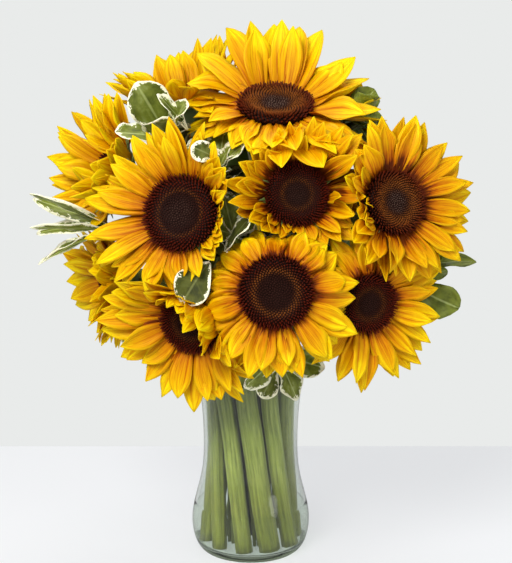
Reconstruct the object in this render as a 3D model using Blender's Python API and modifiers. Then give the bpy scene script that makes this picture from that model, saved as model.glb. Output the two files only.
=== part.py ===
"""A bunch of sunflowers and white-edged pittosporum standing in a clear glass vase.

Metres, +Z up, the front towards -Y. The origin is the centre of the face that the vase stands on.
Every flower is three solids: a stem that swells into its green receptacle, a crown of ray petals and a
seed disc. The stems lean round the axis of the vase as a hand-tied bunch does, pass its waist in two
rings and then bend out to their heads. Petals and leaves each try their own natural lie first and swing
aside by a few degrees at a time until they are clear of what is already there.
"""

import math
from typing import NamedTuple

import bmesh
import bpy
from mathutils import Matrix, Vector
from mathutils.bvhtree import BVHTree
from mathutils.geometry import interpolate_bezier

MM = 0.001

# ---- Driving dimensions -------------------------------------------------------------------------
GAP = 0.3 * MM  # what touching pieces keep between them

VASE_HEIGHT = 165 * MM
WALL = 2.6 * MM
FLOOR = 8.0 * MM  # thickness of the glass under the water
FOOT_RADIUS = 40 * MM  # the flat that the vase stands on
BELLY_RADIUS, BELLY_HEIGHT = 52.3 * MM, 27 * MM
WAIST_RADIUS, WAIST_HEIGHT = 41.6 * MM, 100 * MM
LIP_RADIUS = 47 * MM
LIP_ROUND = 1 * MM
FLARE_SHARES = (0.9, 0.65, 0.35)  # of the height from the waist to the lip
BELLY_STEPS = 6  # points of the S between the waist and the belly
BELLY_LAG = 1.35  # above 1, the S swells lower down
CORNER_START, CORNER_POINTS = -20, 5  # degrees below the belly, and points down to the foot
VASE_SEGMENTS = 28
WATER_HEIGHT = 43 * MM

TWIST = 22.0  # degrees that the bunch turns from the waist down to the foot
LEAVE_HEIGHT = VASE_HEIGHT + 4 * MM  # where a stem starts to bend out
LEAVE_PULL, ARRIVE_PULL = 0.42, 0.36  # how long the bend keeps its first and its last direction
INNER_RING = 12.0 * MM  # stems round the axis
OUTER_RING_GAP = 0.4 * MM  # between the outer stems and the glass at the waist
STEM_BENDS, SPRIG_BENDS = 6, 5  # points along the bend of a stem and of a sprig
SPRIG_RING = 20.6 * MM  # the thin stems go between the two rings
SPRIG_RADIUS = 1.5 * MM
SPRIG_SWING, SPRIG_SWING_MOST = 2.5, 170  # degrees between the places that a sprig tries, and the last

DISC_DEPTH = 7.5 * MM
DISC_SEGMENTS = 16
RECEPTACLE_DEPTH = 17 * MM
RECEPTACLE_INSET = 1.5 * MM  # how much smaller than the disc it is
RECEPTACLE_SWELL = ((0.45, 0.55), (0.8, 0.93), (1.0, 1.0))  # (share of its depth, share of its swelling)

PETALS = 16
PETAL_THICK = 0.9 * MM
PETAL_ROWS = 3
PETAL_SPREAD = 1.25  # how much wider than its base a petal gets
PETAL_GAP_SHARE = 0.94  # of its wedge that a petal may fill
PETAL_CUPS = (-68, 80)  # how far a petal can bend back and forward, in degrees
PETAL_SWING, PETAL_SWING_MOST = 7, 84
PETAL_SHARES = (1.0, 0.85, 0.7, 0.55, 0.4, 0.3)  # of its length that a petal tries
CROWN_INSET = 5 * MM  # how far the crown's ring reaches in under the disc
CROWN_EDGE = 1 * MM  # and how far out past it

LEAF_THICK = 0.9 * MM
LEAF_WIDTH_SHARE = 0.42
LEAF_ROWS = 2
LEAF_TOP, LEAF_STEP = 1.4 * MM, 1.1 * MM  # how far down the sprig the first leaf sits, and each next one
LEAF_OPENINGS = (8, 115)  # degrees
LEAF_SWING, LEAF_SWING_MOST = 8, 64
LEAF_SHARES = (1.0, 0.8, 0.6)

TRIED_ROWS = (0.08, 0.38, 0.69, 1.0)  # where along a petal or leaf it is tried
EDGES = (-0.5, 0.5)  # its left and right edge
TIP_WIDTH = 1.5 * MM
CLEARANCE = 0.45 * MM  # kept round a petal or leaf when it is tried against its neighbours
BLADE_HALF = PETAL_THICK / 2 + CLEARANCE


class Flower(NamedTuple):
    """One sunflower. The head faces `turn` degrees to the right of the front and `rise` above level."""

    name: str
    centre: tuple  # middle of the petals' ring, in millimetres
    turn: float
    rise: float
    disc: float  # disc radius in millimetres
    petal: float  # petal length in millimetres
    lie: tuple  # forward cup of the petals at the head's right, top, left and bottom, in degrees
    ring: float  # neck ring: 0 for the outer one, else its radius
    angle: float  # place on that ring, in degrees from +X
    stem: float  # stem radius in millimetres


class Sprig(NamedTuple):
    """One pittosporum sprig: where its tip is, which way it points and the leaves round it."""

    name: str
    tip: tuple
    turn: float
    rise: float
    angle: float
    leaves: int
    leaf: float  # leaf length in millimetres
    spread: float  # degrees between the leaves and the sprig's own direction


FRONT_FLOWERS = [
    Flower("front", (21, -115, 268), -2, 12, 31.5, 55, (-35, -45, -35, 0), 0, -84, 7.6),
    Flower("left", (-55, -90, 327), -20, 20, 34.0, 51, (60, 32, 5, -15), INNER_RING, -165, 6.0),
    Flower("right", (118, -68, 331), 28, 20, 27.5, 53, (5, 10, 45, 10), 0, -12, 5.8),
    Flower("middle", (38, -72, 339), 6, 18, 26.8, 44, (50, 60, 50, 45), INNER_RING, -45, 5.6),
    Flower("top", (21, -28, 403), 4, 71, 33.0, 60, (5, 45, -25, -8), INNER_RING, 75, 6.4),
    Flower("lower_right", (96, -86, 251), 24, 2, 25.5, 51, (10, 0, -20, 5), 0, -48, 6.0),
    Flower("lower_left", (-48, -83, 234), -24, -6, 27.0, 55, (-10, 10, 22, 5), 0, -120, 6.0),
]

SIDE_FLOWERS = [
    Flower("far_left", (-115, -10, 344), -66, 24, 27.5, 52, (10, 25, 50, 20), 0, 168, 5.6),
    Flower("upper_left", (-58, 38, 396), -100, 72, 28.0, 54, (20, 50, 55, 35), 0, 132, 5.8),
    Flower("low_left", (-115, -10, 250), -64, -4, 26.0, 50, (0, 5, 22, 5), 0, 204, 5.4),
    Flower("back_right", (80, 52, 378), 128, 42, 29.0, 54, (10, 15, 10, 0), 0, 24, 5.8),
    Flower("back", (-14, 112, 318), 188, 18, 30.0, 54, (5, 10, 5, 0), 0, 96, 6.0),
    Flower("low_back", (76, 96, 262), 142, 4, 27.0, 52, (5, 5, 5, 0), 0, 60, 5.8),
]

FRONT_SPRIGS = [
    Sprig("shoulder", (-68, -36, 384), -40, 50, 186, 5, 48, 42),
    Sprig("side", (-120, -30, 300), -85, 0, 186, 6, 56, 24),
    Sprig("crown_gap", (-28, -54, 360), -30, 60, 222, 5, 34, 50),
    Sprig("front_gap", (-14, -66, 306), -10, 45, 258, 4, 36, 50),
    Sprig("left_gap", (-38, -82, 275), -40, 15, 258, 5, 40, 45),
    Sprig("mid_gap", (54, -58, 300), 10, 30, -60, 4, 32, 50),
    Sprig("top_right", (84, -4, 392), 80, 30, -30, 5, 36, 35),
    Sprig("right_side", (138, -44, 266), 75, -5, -30, 6, 44, 40),
    Sprig("lip_right", (26, -62, 195), 10, -30, -66, 4, 42, 48),
    Sprig("low_side", (-106, -6, 226), -85, -35, 186, 5, 38, 40),
]

SIDE_SPRIGS = [
    Sprig("back_low", (-30, 96, 232), 180, -5, 114, 5, 44, 55),
    Sprig("back_side", (-104, 60, 312), 240, 20, 150, 5, 44, 50),
    Sprig("back_mid", (26, 104, 336), 165, 30, 78, 5, 42, 50),
    Sprig("back_top", (10, 44, 412), 170, 70, 78, 5, 40, 55),
    Sprig("right_back", (122, 30, 312), 110, 15, 6, 5, 44, 50),
]

obstacles = []


# ---- Scene, materials and shared tools ----------------------------------------------------------
def new_collection(name, parent=None):
    made = bpy.data.collections.new(name)
    (parent or bpy.context.scene.collection).children.link(made)
    return made


def principled(name, colour, roughness, transmission=0.0):
    made = bpy.data.materials.new(name)
    made.use_nodes = True
    shader = made.node_tree.nodes["Principled BSDF"]
    shader.inputs["Base Color"].default_value = (*colour, 1)
    shader.inputs["Roughness"].default_value = roughness
    shader.inputs["Metallic"].default_value = 0
    shader.inputs["Transmission Weight"].default_value = transmission
    return made


def link(name, data, material, collection, matrix=None):
    made = bpy.data.objects.new(name, data)
    if matrix is not None:
        made.matrix_world = matrix
    data.materials.append(material)
    collection.objects.link(made)
    return made


def cutter(obj):
    obj.hide_render = True
    obj.display_type = "WIRE"
    return obj


def turned(name, profile, segments, material, collection, matrix=None):
    """A profile of (radius, height) points, listed down its outer side, turned about Z."""
    mesh = bpy.data.meshes.new(name)
    points = [(radius, 0, height) for radius, height in profile]
    mesh.from_pydata(points, [(i, i + 1) for i in range(len(points) - 1)], [])
    made = link(name, mesh, material, collection, matrix)
    screw = made.modifiers.new("turn", "SCREW")
    screw.steps = screw.render_steps = segments
    screw.use_merge_vertices = True
    screw.merge_threshold = 0.00001
    screw.use_smooth_shade = True
    return made


def tube(name, points, radii, bevel_resolution, material, collection):
    """A round rod along points, with a radius at each."""
    curve = bpy.data.curves.new(name, "CURVE")
    curve.dimensions = "3D"
    curve.bevel_depth = 1.0
    curve.bevel_resolution = bevel_resolution
    curve.use_fill_caps = True
    curve.twist_mode = "MINIMUM"
    spline = curve.splines.new("POLY")
    spline.points.add(len(points) - 1)
    for target, point, radius in zip(spline.points, points, radii, strict=True):
        target.co = (*point, 1)
        target.radius = radius
    return link(name, curve, material, collection)


def meshed(curve_object, collection):
    """The same object as a mesh with its caps welded on, in the collection given."""
    bpy.context.view_layer.update()
    graph = bpy.context.evaluated_depsgraph_get()
    mesh = bpy.data.meshes.new_from_object(curve_object.evaluated_get(graph))
    shape = bmesh.new()
    shape.from_mesh(mesh)
    bmesh.ops.remove_doubles(shape, verts=shape.verts, dist=0.000001)
    shape.to_mesh(mesh)
    shape.free()
    name, matrix = curve_object.name, curve_object.matrix_world.copy()
    bpy.data.objects.remove(curve_object)
    made = bpy.data.objects.new(name, mesh)
    made.matrix_world = matrix
    collection.objects.link(made)
    return made


def tree_of(obj):
    """The evaluated surface of an object as a tree that others are tried against."""
    bpy.context.view_layer.update()
    graph = bpy.context.evaluated_depsgraph_get()
    evaluated = obj.evaluated_get(graph)
    mesh = evaluated.to_mesh()
    points = [evaluated.matrix_world @ v.co for v in mesh.vertices]
    faces = [tuple(p.vertices) for p in mesh.polygons]
    evaluated.to_mesh_clear()
    return BVHTree.FromPolygons(points, faces)


def add_obstacle(owner, obj):
    obstacles.append((owner, tree_of(obj)))


def guard_crown(flower, matrix):
    """Keeps what is placed before a flower's own petals clear of the ring that they will grow from."""
    radius = flower.disc * MM + CROWN_EDGE + 1.5 * MM
    shape = bmesh.new()
    bmesh.ops.create_cone(
        shape, cap_ends=True, segments=PETALS, radius1=radius, radius2=radius, depth=3 * MM, matrix=matrix
    )
    obstacles.append((flower.name, BVHTree.FromBMesh(shape)))
    shape.free()


def is_clear(owner, strip, half=BLADE_HALF):
    """Whether a strip, given as rows of left and right points, misses all but the owner's own pieces."""
    tree = thick_strip(strip, half)
    return not any(other != owner and tree.overlap(found) for other, found in obstacles)


def thick_strip(strip, half):
    """A closed prism: half to each side of the strip's surface, and a clearance past its edges."""
    points = []
    for i, (left, right) in enumerate(strip):
        before, after = strip[max(i - 1, 0)], strip[min(i + 1, len(strip) - 1)]
        along = ((after[0] + after[1]) - (before[0] + before[1])).normalized()
        across = (right - left).normalized()
        out = across.cross(along).normalized() * half
        wide = across * CLEARANCE
        points += [left - wide + out, right + wide + out, right + wide - out, left - wide - out]
    faces = [(0, 1, 2, 3)]
    for row in range(len(strip) - 1):
        base = 4 * row
        faces += [(base + k, base + (k + 1) % 4, base + 4 + (k + 1) % 4, base + 4 + k) for k in range(4)]
    last = 4 * (len(strip) - 1)
    faces.append((last + 3, last + 2, last + 1, last))
    return BVHTree.FromPolygons(points, faces)


def swings(step, most):
    """0, then one step each way, then two, up to most."""
    yield 0
    for k in range(1, int(most / step) + 1):
        yield k * step
        yield -k * step


# ---- Directions and stem routes -----------------------------------------------------------------
def direction(turn, rise):
    turn, rise = math.radians(turn), math.radians(rise)
    return Vector((math.sin(turn) * math.cos(rise), -math.cos(turn) * math.cos(rise), math.sin(rise)))


def head_matrix(centre, facing):
    """A frame at centre: Z is the facing, X its right and Y its top, as seen from in front of it."""
    side = Vector((0, 0, 1)).cross(facing).normalized()
    top = facing.cross(side)
    return Matrix.Translation(centre) @ Matrix((side, top, facing)).transposed().to_4x4()


def on_ring(radius, degrees, height):
    angle = math.radians(degrees)
    return Vector((radius * math.cos(angle), radius * math.sin(angle), height))


def route(ring, angle, stem_radius, end, end_direction, bend_points):
    """Foot, waist, lip and then a smooth bend that arrives at end along end_direction."""
    waist = on_ring(ring, angle, WAIST_HEIGHT)
    foot = on_ring(ring, angle + TWIST, FLOOR)
    lean = (waist - foot).normalized()
    lift = GAP + stem_radius * math.sqrt(1 - lean.z**2)  # the cut is square, so its low side meets the floor
    foot += lean * (lift / lean.z)
    leave = foot + lean * ((LEAVE_HEIGHT - foot.z) / lean.z)
    reach = (end - leave).length
    first = leave + lean * reach * LEAVE_PULL
    last = end - end_direction * reach * ARRIVE_PULL
    return [foot, waist, *interpolate_bezier(leave, first, last, end, bend_points + 1)]


# ---- Vase and water -----------------------------------------------------------------------------
def ease(share):
    return 0.5 - 0.5 * math.cos(math.pi * share)


def vase_outside():
    """(radius, height) from the lip down to the foot: the flare, the S to the belly, the round corner."""
    points = []
    for share in FLARE_SHARES:
        height = WAIST_HEIGHT + (VASE_HEIGHT - WAIST_HEIGHT) * share
        points.append((WAIST_RADIUS + (LIP_RADIUS - WAIST_RADIUS) * share**2, height))
    for step in range(BELLY_STEPS + 1):
        share = step / BELLY_STEPS
        radius = WAIST_RADIUS + (BELLY_RADIUS - WAIST_RADIUS) * ease(share**BELLY_LAG)
        points.append((radius, WAIST_HEIGHT + (BELLY_HEIGHT - WAIST_HEIGHT) * share))
    for step in range(CORNER_POINTS):
        angle = math.radians(CORNER_START + (-90 - CORNER_START) * step / (CORNER_POINTS - 1))
        radius = FOOT_RADIUS + (BELLY_RADIUS - FOOT_RADIUS) * math.cos(angle)
        points.append((radius, BELLY_HEIGHT * (1 + math.sin(angle))))
    return points


def vase_inside(outside):
    """(radius, height) of the hollow, from the lip down to the middle of its floor."""
    wall = [(radius - WALL, height) for radius, height in outside if height > FLOOR + WALL]
    edge = wall[-1][0]
    return [*wall, (edge - WALL, FLOOR + WALL / 2), (edge - 3 * WALL, FLOOR), (0, FLOOR)]


def build_vase(material, collection):
    outside = vase_outside()
    lip = [
        (LIP_RADIUS - WALL, VASE_HEIGHT - LIP_ROUND),
        (LIP_RADIUS - WALL / 2, VASE_HEIGHT),
        (LIP_RADIUS, VASE_HEIGHT - LIP_ROUND),
    ]
    profile = [*reversed(vase_inside(outside)), *lip, *outside, (0, 0)]
    return turned("glass_vase", profile, VASE_SEGMENTS, material, collection)


def build_water(material, collection, cutters):
    """The water's outline follows the glass, and every stem that stands in it is cut out of it."""
    hollow = [(max(0, radius - GAP), height + GAP) for radius, height in vase_inside(vase_outside())]
    below = [point for point in hollow if point[1] < WATER_HEIGHT]
    above = hollow[len(hollow) - len(below) - 1]
    share = (WATER_HEIGHT - below[0][1]) / (above[1] - below[0][1])
    surface = below[0][0] + (above[0] - below[0][0]) * share
    profile = [(0, WATER_HEIGHT), (surface, WATER_HEIGHT), *below]
    water = turned("water", profile, VASE_SEGMENTS, material, collection)
    cut = water.modifiers.new("stems", "BOOLEAN")
    cut.operation = "DIFFERENCE"
    cut.operand_type = "COLLECTION"
    cut.collection = cutters
    return water


def water_cutter(name, points, radius, bevel_resolution, material, holding, collection):
    """A rod a little wider than a stem, from under the water's floor to above its surface."""
    lean = (points[1] - points[0]).normalized()
    start = points[0] - lean * FLOOR
    end = points[0] + lean * (WATER_HEIGHT + FLOOR)
    wide = radius + GAP
    made = tube(name, [start, end], [wide, wide], bevel_resolution, material, holding)
    return cutter(meshed(made, collection))


# ---- Sunflowers ---------------------------------------------------------------------------------
def outer_ring(stem_radius):
    return WAIST_RADIUS - WALL - stem_radius - OUTER_RING_GAP


def build_stem(flower, matrix, facing, material, collection):
    """The stem, which swells at its top into the receptacle that carries the petals and the disc."""
    radius = flower.stem * MM
    top_radius = flower.disc * MM - RECEPTACLE_INSET
    seat = -(PETAL_THICK / 2 + GAP)
    back = matrix.translation - facing * RECEPTACLE_DEPTH
    ring = flower.ring or outer_ring(radius)
    points = route(ring, flower.angle, radius, back, facing, STEM_BENDS)
    radii = [radius] * len(points)
    for share, swell in RECEPTACLE_SWELL:
        points.append(back + facing * (RECEPTACLE_DEPTH + seat) * share)
        radii.append(radius + (top_radius - radius) * swell)
    stem = tube(f"stem_{flower.name}", points, radii, 3, material, collection)
    return stem, points, radius


def build_disc(flower, matrix, material, collection):
    """The seed disc: a thick plate with a raised rim and a shallow hollow in its middle."""
    radius, under = flower.disc * MM, PETAL_THICK / 2 + GAP
    profile = [
        (0, under + DISC_DEPTH * 0.62),
        (radius * 0.45, under + DISC_DEPTH * 0.7),
        (radius * 0.82, under + DISC_DEPTH),
        (radius, under + DISC_DEPTH * 0.45),
        (radius * 0.97, under),
        (0, under),
    ]
    return turned(f"disc_{flower.name}", profile, DISC_SEGMENTS, material, collection, matrix)


def cup_at(flower, around):
    """The petals' forward cup at an angle round the head, eased between its four stated values."""
    quarter = (around / (math.pi / 2)) % 4
    first = int(quarter)
    share = ease(quarter - first)
    return flower.lie[first] * (1 - share) + flower.lie[(first + 1) % 4] * share


def petal_width(base_width, along):
    """Full at the ring, widest near the middle and pointed at the tip."""
    return base_width * (1 - along + PETAL_SPREAD * math.sin(math.pi * along**0.85))


def petal_point(base_radius, around, length, cup, across, along):
    """A point of a petal in the head's frame: across is -0.5 to 0.5, along 0 at its base to 1 at its tip."""
    half_step = math.pi / PETALS
    bend = math.radians(cup) * (0.75 + 0.25 * along)
    out = base_radius * math.cos(half_step) + length * along * math.cos(bend)
    width = 2 * base_radius * math.sin(half_step)
    if along > 0:
        wedge = 2 * out * math.tan(half_step) * PETAL_GAP_SHARE
        width = max(min(petal_width(width, along), wedge), TIP_WIDTH)
    spoke = Vector((math.cos(around), math.sin(around), 0))
    side = Vector((-math.sin(around), math.cos(around), 0))
    return spoke * out + side * width * across + Vector((0, 0, length * along * math.sin(bend)))


def settle_petal(flower, matrix, base_radius, around):
    """The (length, cup) nearest to the natural ones that keeps a petal clear, or None where none does."""
    natural = cup_at(flower, around)
    for share in PETAL_SHARES:
        length = flower.petal * MM * share
        for swing in swings(PETAL_SWING, PETAL_SWING_MOST):
            cup = natural + swing
            strip = [
                [matrix @ petal_point(base_radius, around, length, cup, side, along) for side in EDGES]
                for along in TRIED_ROWS
            ]
            if PETAL_CUPS[0] <= cup <= PETAL_CUPS[1] and is_clear(flower.name, strip):
                return length, cup
    return None


def build_crown(flower, matrix, material, collection):
    """The ring under the disc with every ray petal on it, as one thin shell."""
    base_radius = flower.disc * MM + CROWN_EDGE
    step = 2 * math.pi / PETALS
    shape = bmesh.new()
    outer = bmesh.ops.create_circle(shape, segments=PETALS, radius=base_radius)["verts"]
    inner = bmesh.ops.create_circle(shape, segments=PETALS, radius=flower.disc * MM - CROWN_INSET)["verts"]
    edges = list({edge for vert in (*outer, *inner) for edge in vert.link_edges})
    bmesh.ops.bridge_loops(shape, edges=edges)
    start = math.atan2(outer[0].co.y, outer[0].co.x)
    for k in range(PETALS):
        around = start + step * (k + 0.5)
        found = settle_petal(flower, matrix, base_radius, around)
        if found is None:
            continue
        grid = bmesh.ops.create_grid(shape, x_segments=1, y_segments=PETAL_ROWS, size=0.5)["verts"]
        for vert in grid:
            vert.co = petal_point(base_radius, around, *found, vert.co.x, vert.co.y + 0.5)
    bmesh.ops.remove_doubles(shape, verts=shape.verts, dist=0.00001)
    bmesh.ops.recalc_face_normals(shape, faces=shape.faces)
    mesh = bpy.data.meshes.new(f"petals_{flower.name}")
    shape.to_mesh(mesh)
    shape.free()
    crown = link(mesh.name, mesh, material, collection, matrix)
    shell = crown.modifiers.new("thickness", "SOLIDIFY")
    shell.thickness = PETAL_THICK
    shell.offset = 0
    return crown


# ---- Pittosporum sprigs -------------------------------------------------------------------------
def leaf_point(root, spoke, axis, length, open_angle, across, along):
    """A point of a leaf that leaves the sprig at root and curls back as it goes out."""
    bend = math.radians(open_angle * (0.8 + 0.35 * along))
    out = spoke * math.sin(bend) + axis * math.cos(bend)
    side = axis.cross(spoke)
    width = LEAF_WIDTH_SHARE * length * math.sin(math.pi * (0.1 + 0.86 * along)) ** 0.8
    return root + out * length * along + side * max(width, TIP_WIDTH) * across


def settle_leaf(sprig, root, spoke, axis):
    """(length, opening) of a leaf that is clear of everything else, or None where there is no room."""
    for share in LEAF_SHARES:
        length = sprig.leaf * MM * share
        for swing in swings(LEAF_SWING, LEAF_SWING_MOST):
            opening = sprig.spread + swing
            strip = [
                [leaf_point(root, spoke, axis, length, opening, side, along) for side in EDGES]
                for along in TRIED_ROWS
            ]
            if LEAF_OPENINGS[0] <= opening <= LEAF_OPENINGS[1] and is_clear(sprig.name, strip):
                return length, opening
    return None


def build_leaf(name, root, spoke, axis, length, opening, material, collection):
    shape = bmesh.new()
    for vert in bmesh.ops.create_grid(shape, x_segments=1, y_segments=LEAF_ROWS, size=0.5)["verts"]:
        vert.co = leaf_point(root, spoke, axis, length, opening, vert.co.x, vert.co.y + 0.5)
    mesh = bpy.data.meshes.new(name)
    shape.to_mesh(mesh)
    shape.free()
    made = cutter(link(name, mesh, material, collection))
    shell = made.modifiers.new("thickness", "SOLIDIFY")
    shell.thickness = LEAF_THICK
    shell.offset = 0
    return made


def settle_sprig(sprig, axis):
    """The sprig's route from the place on its ring that is nearest to its own and clear of every stem."""
    tip = Vector(sprig.tip) * MM
    for swing in swings(SPRIG_SWING, SPRIG_SWING_MOST):
        points = route(SPRIG_RING, sprig.angle + swing, SPRIG_RADIUS, tip, axis, SPRIG_BENDS)
        strip = []
        for point, after in zip(points, points[1:] + [points[-1] + axis], strict=True):
            side = (after - point).cross(Vector((0, 1, 0.2))).normalized() * SPRIG_RADIUS
            strip.append((point - side, point + side))
        if is_clear(sprig.name, strip, SPRIG_RADIUS + CLEARANCE):
            return points
    raise ValueError(f"the sprig {sprig.name} finds no way out of the vase")


def build_sprig_stem(sprig, points, material, collection):
    radii = [SPRIG_RADIUS] * (len(points) - 2) + [SPRIG_RADIUS * 0.9, SPRIG_RADIUS * 0.75]
    return tube(f"sprig_{sprig.name}", points, radii, 1, material, collection)


def add_leaves(sprig, rod, tip, axis, material, parent):
    """Joins a whorl of leaves to the sprig's woody stem, each where it has room."""
    leaves = new_collection(f"leaves_{sprig.name}", parent)
    frame = head_matrix(tip, axis)
    for k in range(sprig.leaves):
        around = 2 * math.pi * (k + 0.25) / sprig.leaves
        spoke = frame.to_3x3() @ Vector((math.cos(around), math.sin(around), 0))
        root = tip - axis * (LEAF_TOP + LEAF_STEP * k)
        found = settle_leaf(sprig, root, spoke, axis)
        if found:
            build_leaf(f"leaf_{sprig.name}_{k}", root, spoke, axis, *found, material, leaves)
    if leaves.objects:
        join = rod.modifiers.new("leaves", "BOOLEAN")
        join.operation = "UNION"
        join.operand_type = "COLLECTION"
        join.collection = leaves


# ---- The whole bunch ----------------------------------------------------------------------------
def main():
    for obj in list(bpy.data.objects):
        bpy.data.objects.remove(obj)
    whole = new_collection("sunflowers_in_a_vase")
    helpers = new_collection("cutters")
    water_cutters = new_collection("water_cutters", helpers)

    glass = principled("clear glass", (0.93, 0.97, 0.95), 0.03, 1.0)
    liquid = principled("water", (0.93, 0.97, 0.95), 0.02, 1.0)
    stalk = principled("stem green", (0.36, 0.47, 0.16), 0.55)
    ray = principled("petal yellow", (0.95, 0.62, 0.02), 0.5)
    seed = principled("disc brown", (0.075, 0.03, 0.015), 0.8)
    leaf = principled("leaf green", (0.2, 0.33, 0.1), 0.45)

    add_obstacle("vase", build_vase(glass, whole))

    frames = {}
    for flower in (*FRONT_FLOWERS, *SIDE_FLOWERS):
        facing = direction(flower.turn, flower.rise)
        frames[flower.name] = head_matrix(Vector(flower.centre) * MM, facing)
        stem, points, radius = build_stem(flower, frames[flower.name], facing, stalk, whole)
        disc = build_disc(flower, frames[flower.name], seed, whole)
        water_cutter(f"cut_{flower.name}", points, radius, 3, stalk, helpers, water_cutters)
        add_obstacle(flower.name, stem)
        add_obstacle(flower.name, disc)
        guard_crown(flower, frames[flower.name])

    rods = {}
    for sprig in (*FRONT_SPRIGS, *SIDE_SPRIGS):
        axis = direction(sprig.turn, sprig.rise)
        points = settle_sprig(sprig, axis)
        rod = meshed(build_sprig_stem(sprig, points, leaf, helpers), whole)
        water_cutter(f"cut_{sprig.name}", points, SPRIG_RADIUS, 1, leaf, helpers, water_cutters)
        add_obstacle(sprig.name, rod)
        rods[sprig.name] = (rod, points[-1], axis)

    for flowers, sprigs in ((FRONT_FLOWERS, FRONT_SPRIGS), (SIDE_FLOWERS, SIDE_SPRIGS)):
        for flower in flowers:
            add_obstacle(flower.name, build_crown(flower, frames[flower.name], ray, whole))
        for sprig in sprigs:
            add_leaves(sprig, *rods[sprig.name], leaf, helpers)
            add_obstacle(sprig.name, rods[sprig.name][0])
    build_water(liquid, whole, water_cutters)


main()
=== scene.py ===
"""Sunflowers and white-edged pittosporum in a waisted clear glass vase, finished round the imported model.

Metres, +Z up, the front towards -Y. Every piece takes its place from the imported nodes: each flower's head
from its seed disc, the lie of its rays from its crown, and the stems, sprigs and glass from their own
solids. The pieces then carry what the plain solids leave out: three layers of ribbed rays, green bracts,
florets in spirals, ribbed stalks, wavy leaves with cream margins, and smooth glass.
"""

import logging
import math
import random
from dataclasses import dataclass, field
from enum import Enum
from itertools import pairwise

import bmesh
import bpy
import numpy as np
from bmesh.types import BMEdge, BMesh, BMLayerItem, BMVert
from bpy.types import Material, Mesh, Node, NodeSocket, Object
from mathutils import Matrix, Vector


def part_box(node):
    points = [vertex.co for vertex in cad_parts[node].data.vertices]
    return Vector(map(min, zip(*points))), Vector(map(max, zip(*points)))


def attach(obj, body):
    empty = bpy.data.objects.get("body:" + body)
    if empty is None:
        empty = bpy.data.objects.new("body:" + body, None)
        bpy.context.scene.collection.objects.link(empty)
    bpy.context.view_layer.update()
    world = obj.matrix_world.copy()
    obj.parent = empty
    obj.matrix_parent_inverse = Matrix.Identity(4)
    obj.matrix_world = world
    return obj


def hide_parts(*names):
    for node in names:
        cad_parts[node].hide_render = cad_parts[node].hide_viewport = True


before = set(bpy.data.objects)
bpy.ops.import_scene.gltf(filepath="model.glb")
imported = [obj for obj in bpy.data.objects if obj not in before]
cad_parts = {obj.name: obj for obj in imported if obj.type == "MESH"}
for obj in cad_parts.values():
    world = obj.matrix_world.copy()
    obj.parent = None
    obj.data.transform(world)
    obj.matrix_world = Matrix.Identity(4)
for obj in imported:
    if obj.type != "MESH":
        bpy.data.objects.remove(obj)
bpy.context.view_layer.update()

logging.basicConfig(level=logging.INFO, format="%(message)s")
log = logging.getLogger("sunflowers")

MM = 0.001
FULL_TURN = 2 * math.pi
GOLDEN_ANGLE = math.pi * (3 - math.sqrt(5))
WEDGES = 16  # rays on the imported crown, one in each wedge
DISC_SEAT = 0.75 * MM  # from the rays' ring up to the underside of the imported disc
CROWN_EDGE = 1 * MM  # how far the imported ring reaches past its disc
MERGE = 0.02 * MM  # corners nearer than this to each other are one
USUAL_WIDTH = 0.33  # of a ray, as a share of its packed length
RAY_WIDEST = 0.55  # share of the length at which a ray is widest
BRACT_WIDEST = 0.25  # the same on a bract
# inner, high and low steer the painted shade on a stalk
ROD_VALUES = ("tone", "inner", "pith", "high", "low")  # what the corners of a stalk tell its finish
FLORET_VALUES = ("ring", "ash", "fringe", "height", "tone")  # and those of a seed disc


class Slot(Enum):
    """The record's material slots."""

    GLASS = "clear_glass"
    WATER = "water"
    STEM = "stem_green"
    PETAL = "petal_yellow"
    DISC = "disc_brown"
    LEAF = "leaf_green"


# ---- Small tools --------------------------------------------------------------------------------
def srgb(red: int, green: int, blue: int) -> tuple[float, float, float, float]:
    """A colour given as screen values from 0 to 255, as the linear colour that a socket takes.

    Args:
        red: Its red.
        green: Its green.
        blue: Its blue.

    Returns:
        The colour, with an alpha of 1.
    """

    def linear(value: int) -> float:
        """One channel of it."""
        share = value / 255
        return share / 12.92 if share <= 0.04045 else ((share + 0.055) / 1.055) ** 2.4

    return linear(red), linear(green), linear(blue), 1.0


def smooth(low: float, high: float, value: float) -> float:
    """0 below low, 1 above high and an eased step between.

    Args:
        low: Where the step starts.
        high: Where it ends.
        value: The value to place on it.

    Returns:
        The height of the step, from 0 to 1.
    """
    share = min(max((value - low) / (high - low), 0.0), 1.0)
    return share * share * (3 - 2 * share)


def to_mesh(name: str, shape: BMesh, material: Material) -> Mesh:
    """Turns a finished shape into a mesh with one finish.

    Args:
        name: The mesh's name.
        shape: Its geometry; it is freed here.
        material: Its finish.

    Returns:
        The mesh.
    """
    mesh = bpy.data.meshes.new(name)
    shape.to_mesh(mesh)
    shape.free()
    mesh.materials.append(material)
    return mesh


def add_object(name: str, data: bpy.types.ID) -> Object:
    """Puts a new object in the scene.

    Args:
        name: Its name.
        data: Its mesh, lamp or camera.

    Returns:
        The object.
    """
    made = bpy.data.objects.new(name, data)
    bpy.context.scene.collection.objects.link(made)
    return made


def add_piece(name: str, shape: BMesh, material: Material, slot: Slot, *nodes: str) -> Object:
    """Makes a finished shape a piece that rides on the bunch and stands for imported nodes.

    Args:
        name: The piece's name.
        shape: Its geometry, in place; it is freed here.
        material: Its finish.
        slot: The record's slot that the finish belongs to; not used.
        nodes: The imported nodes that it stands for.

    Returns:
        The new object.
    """
    mesh = to_mesh(name, shape, material)
    mesh.shade_smooth()
    piece = add_object(name, mesh)
    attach(piece, "root")
    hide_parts(*nodes)
    log.info("%s: %d faces, stands for %s", name, len(mesh.polygons), ", ".join(nodes))
    return piece


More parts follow.
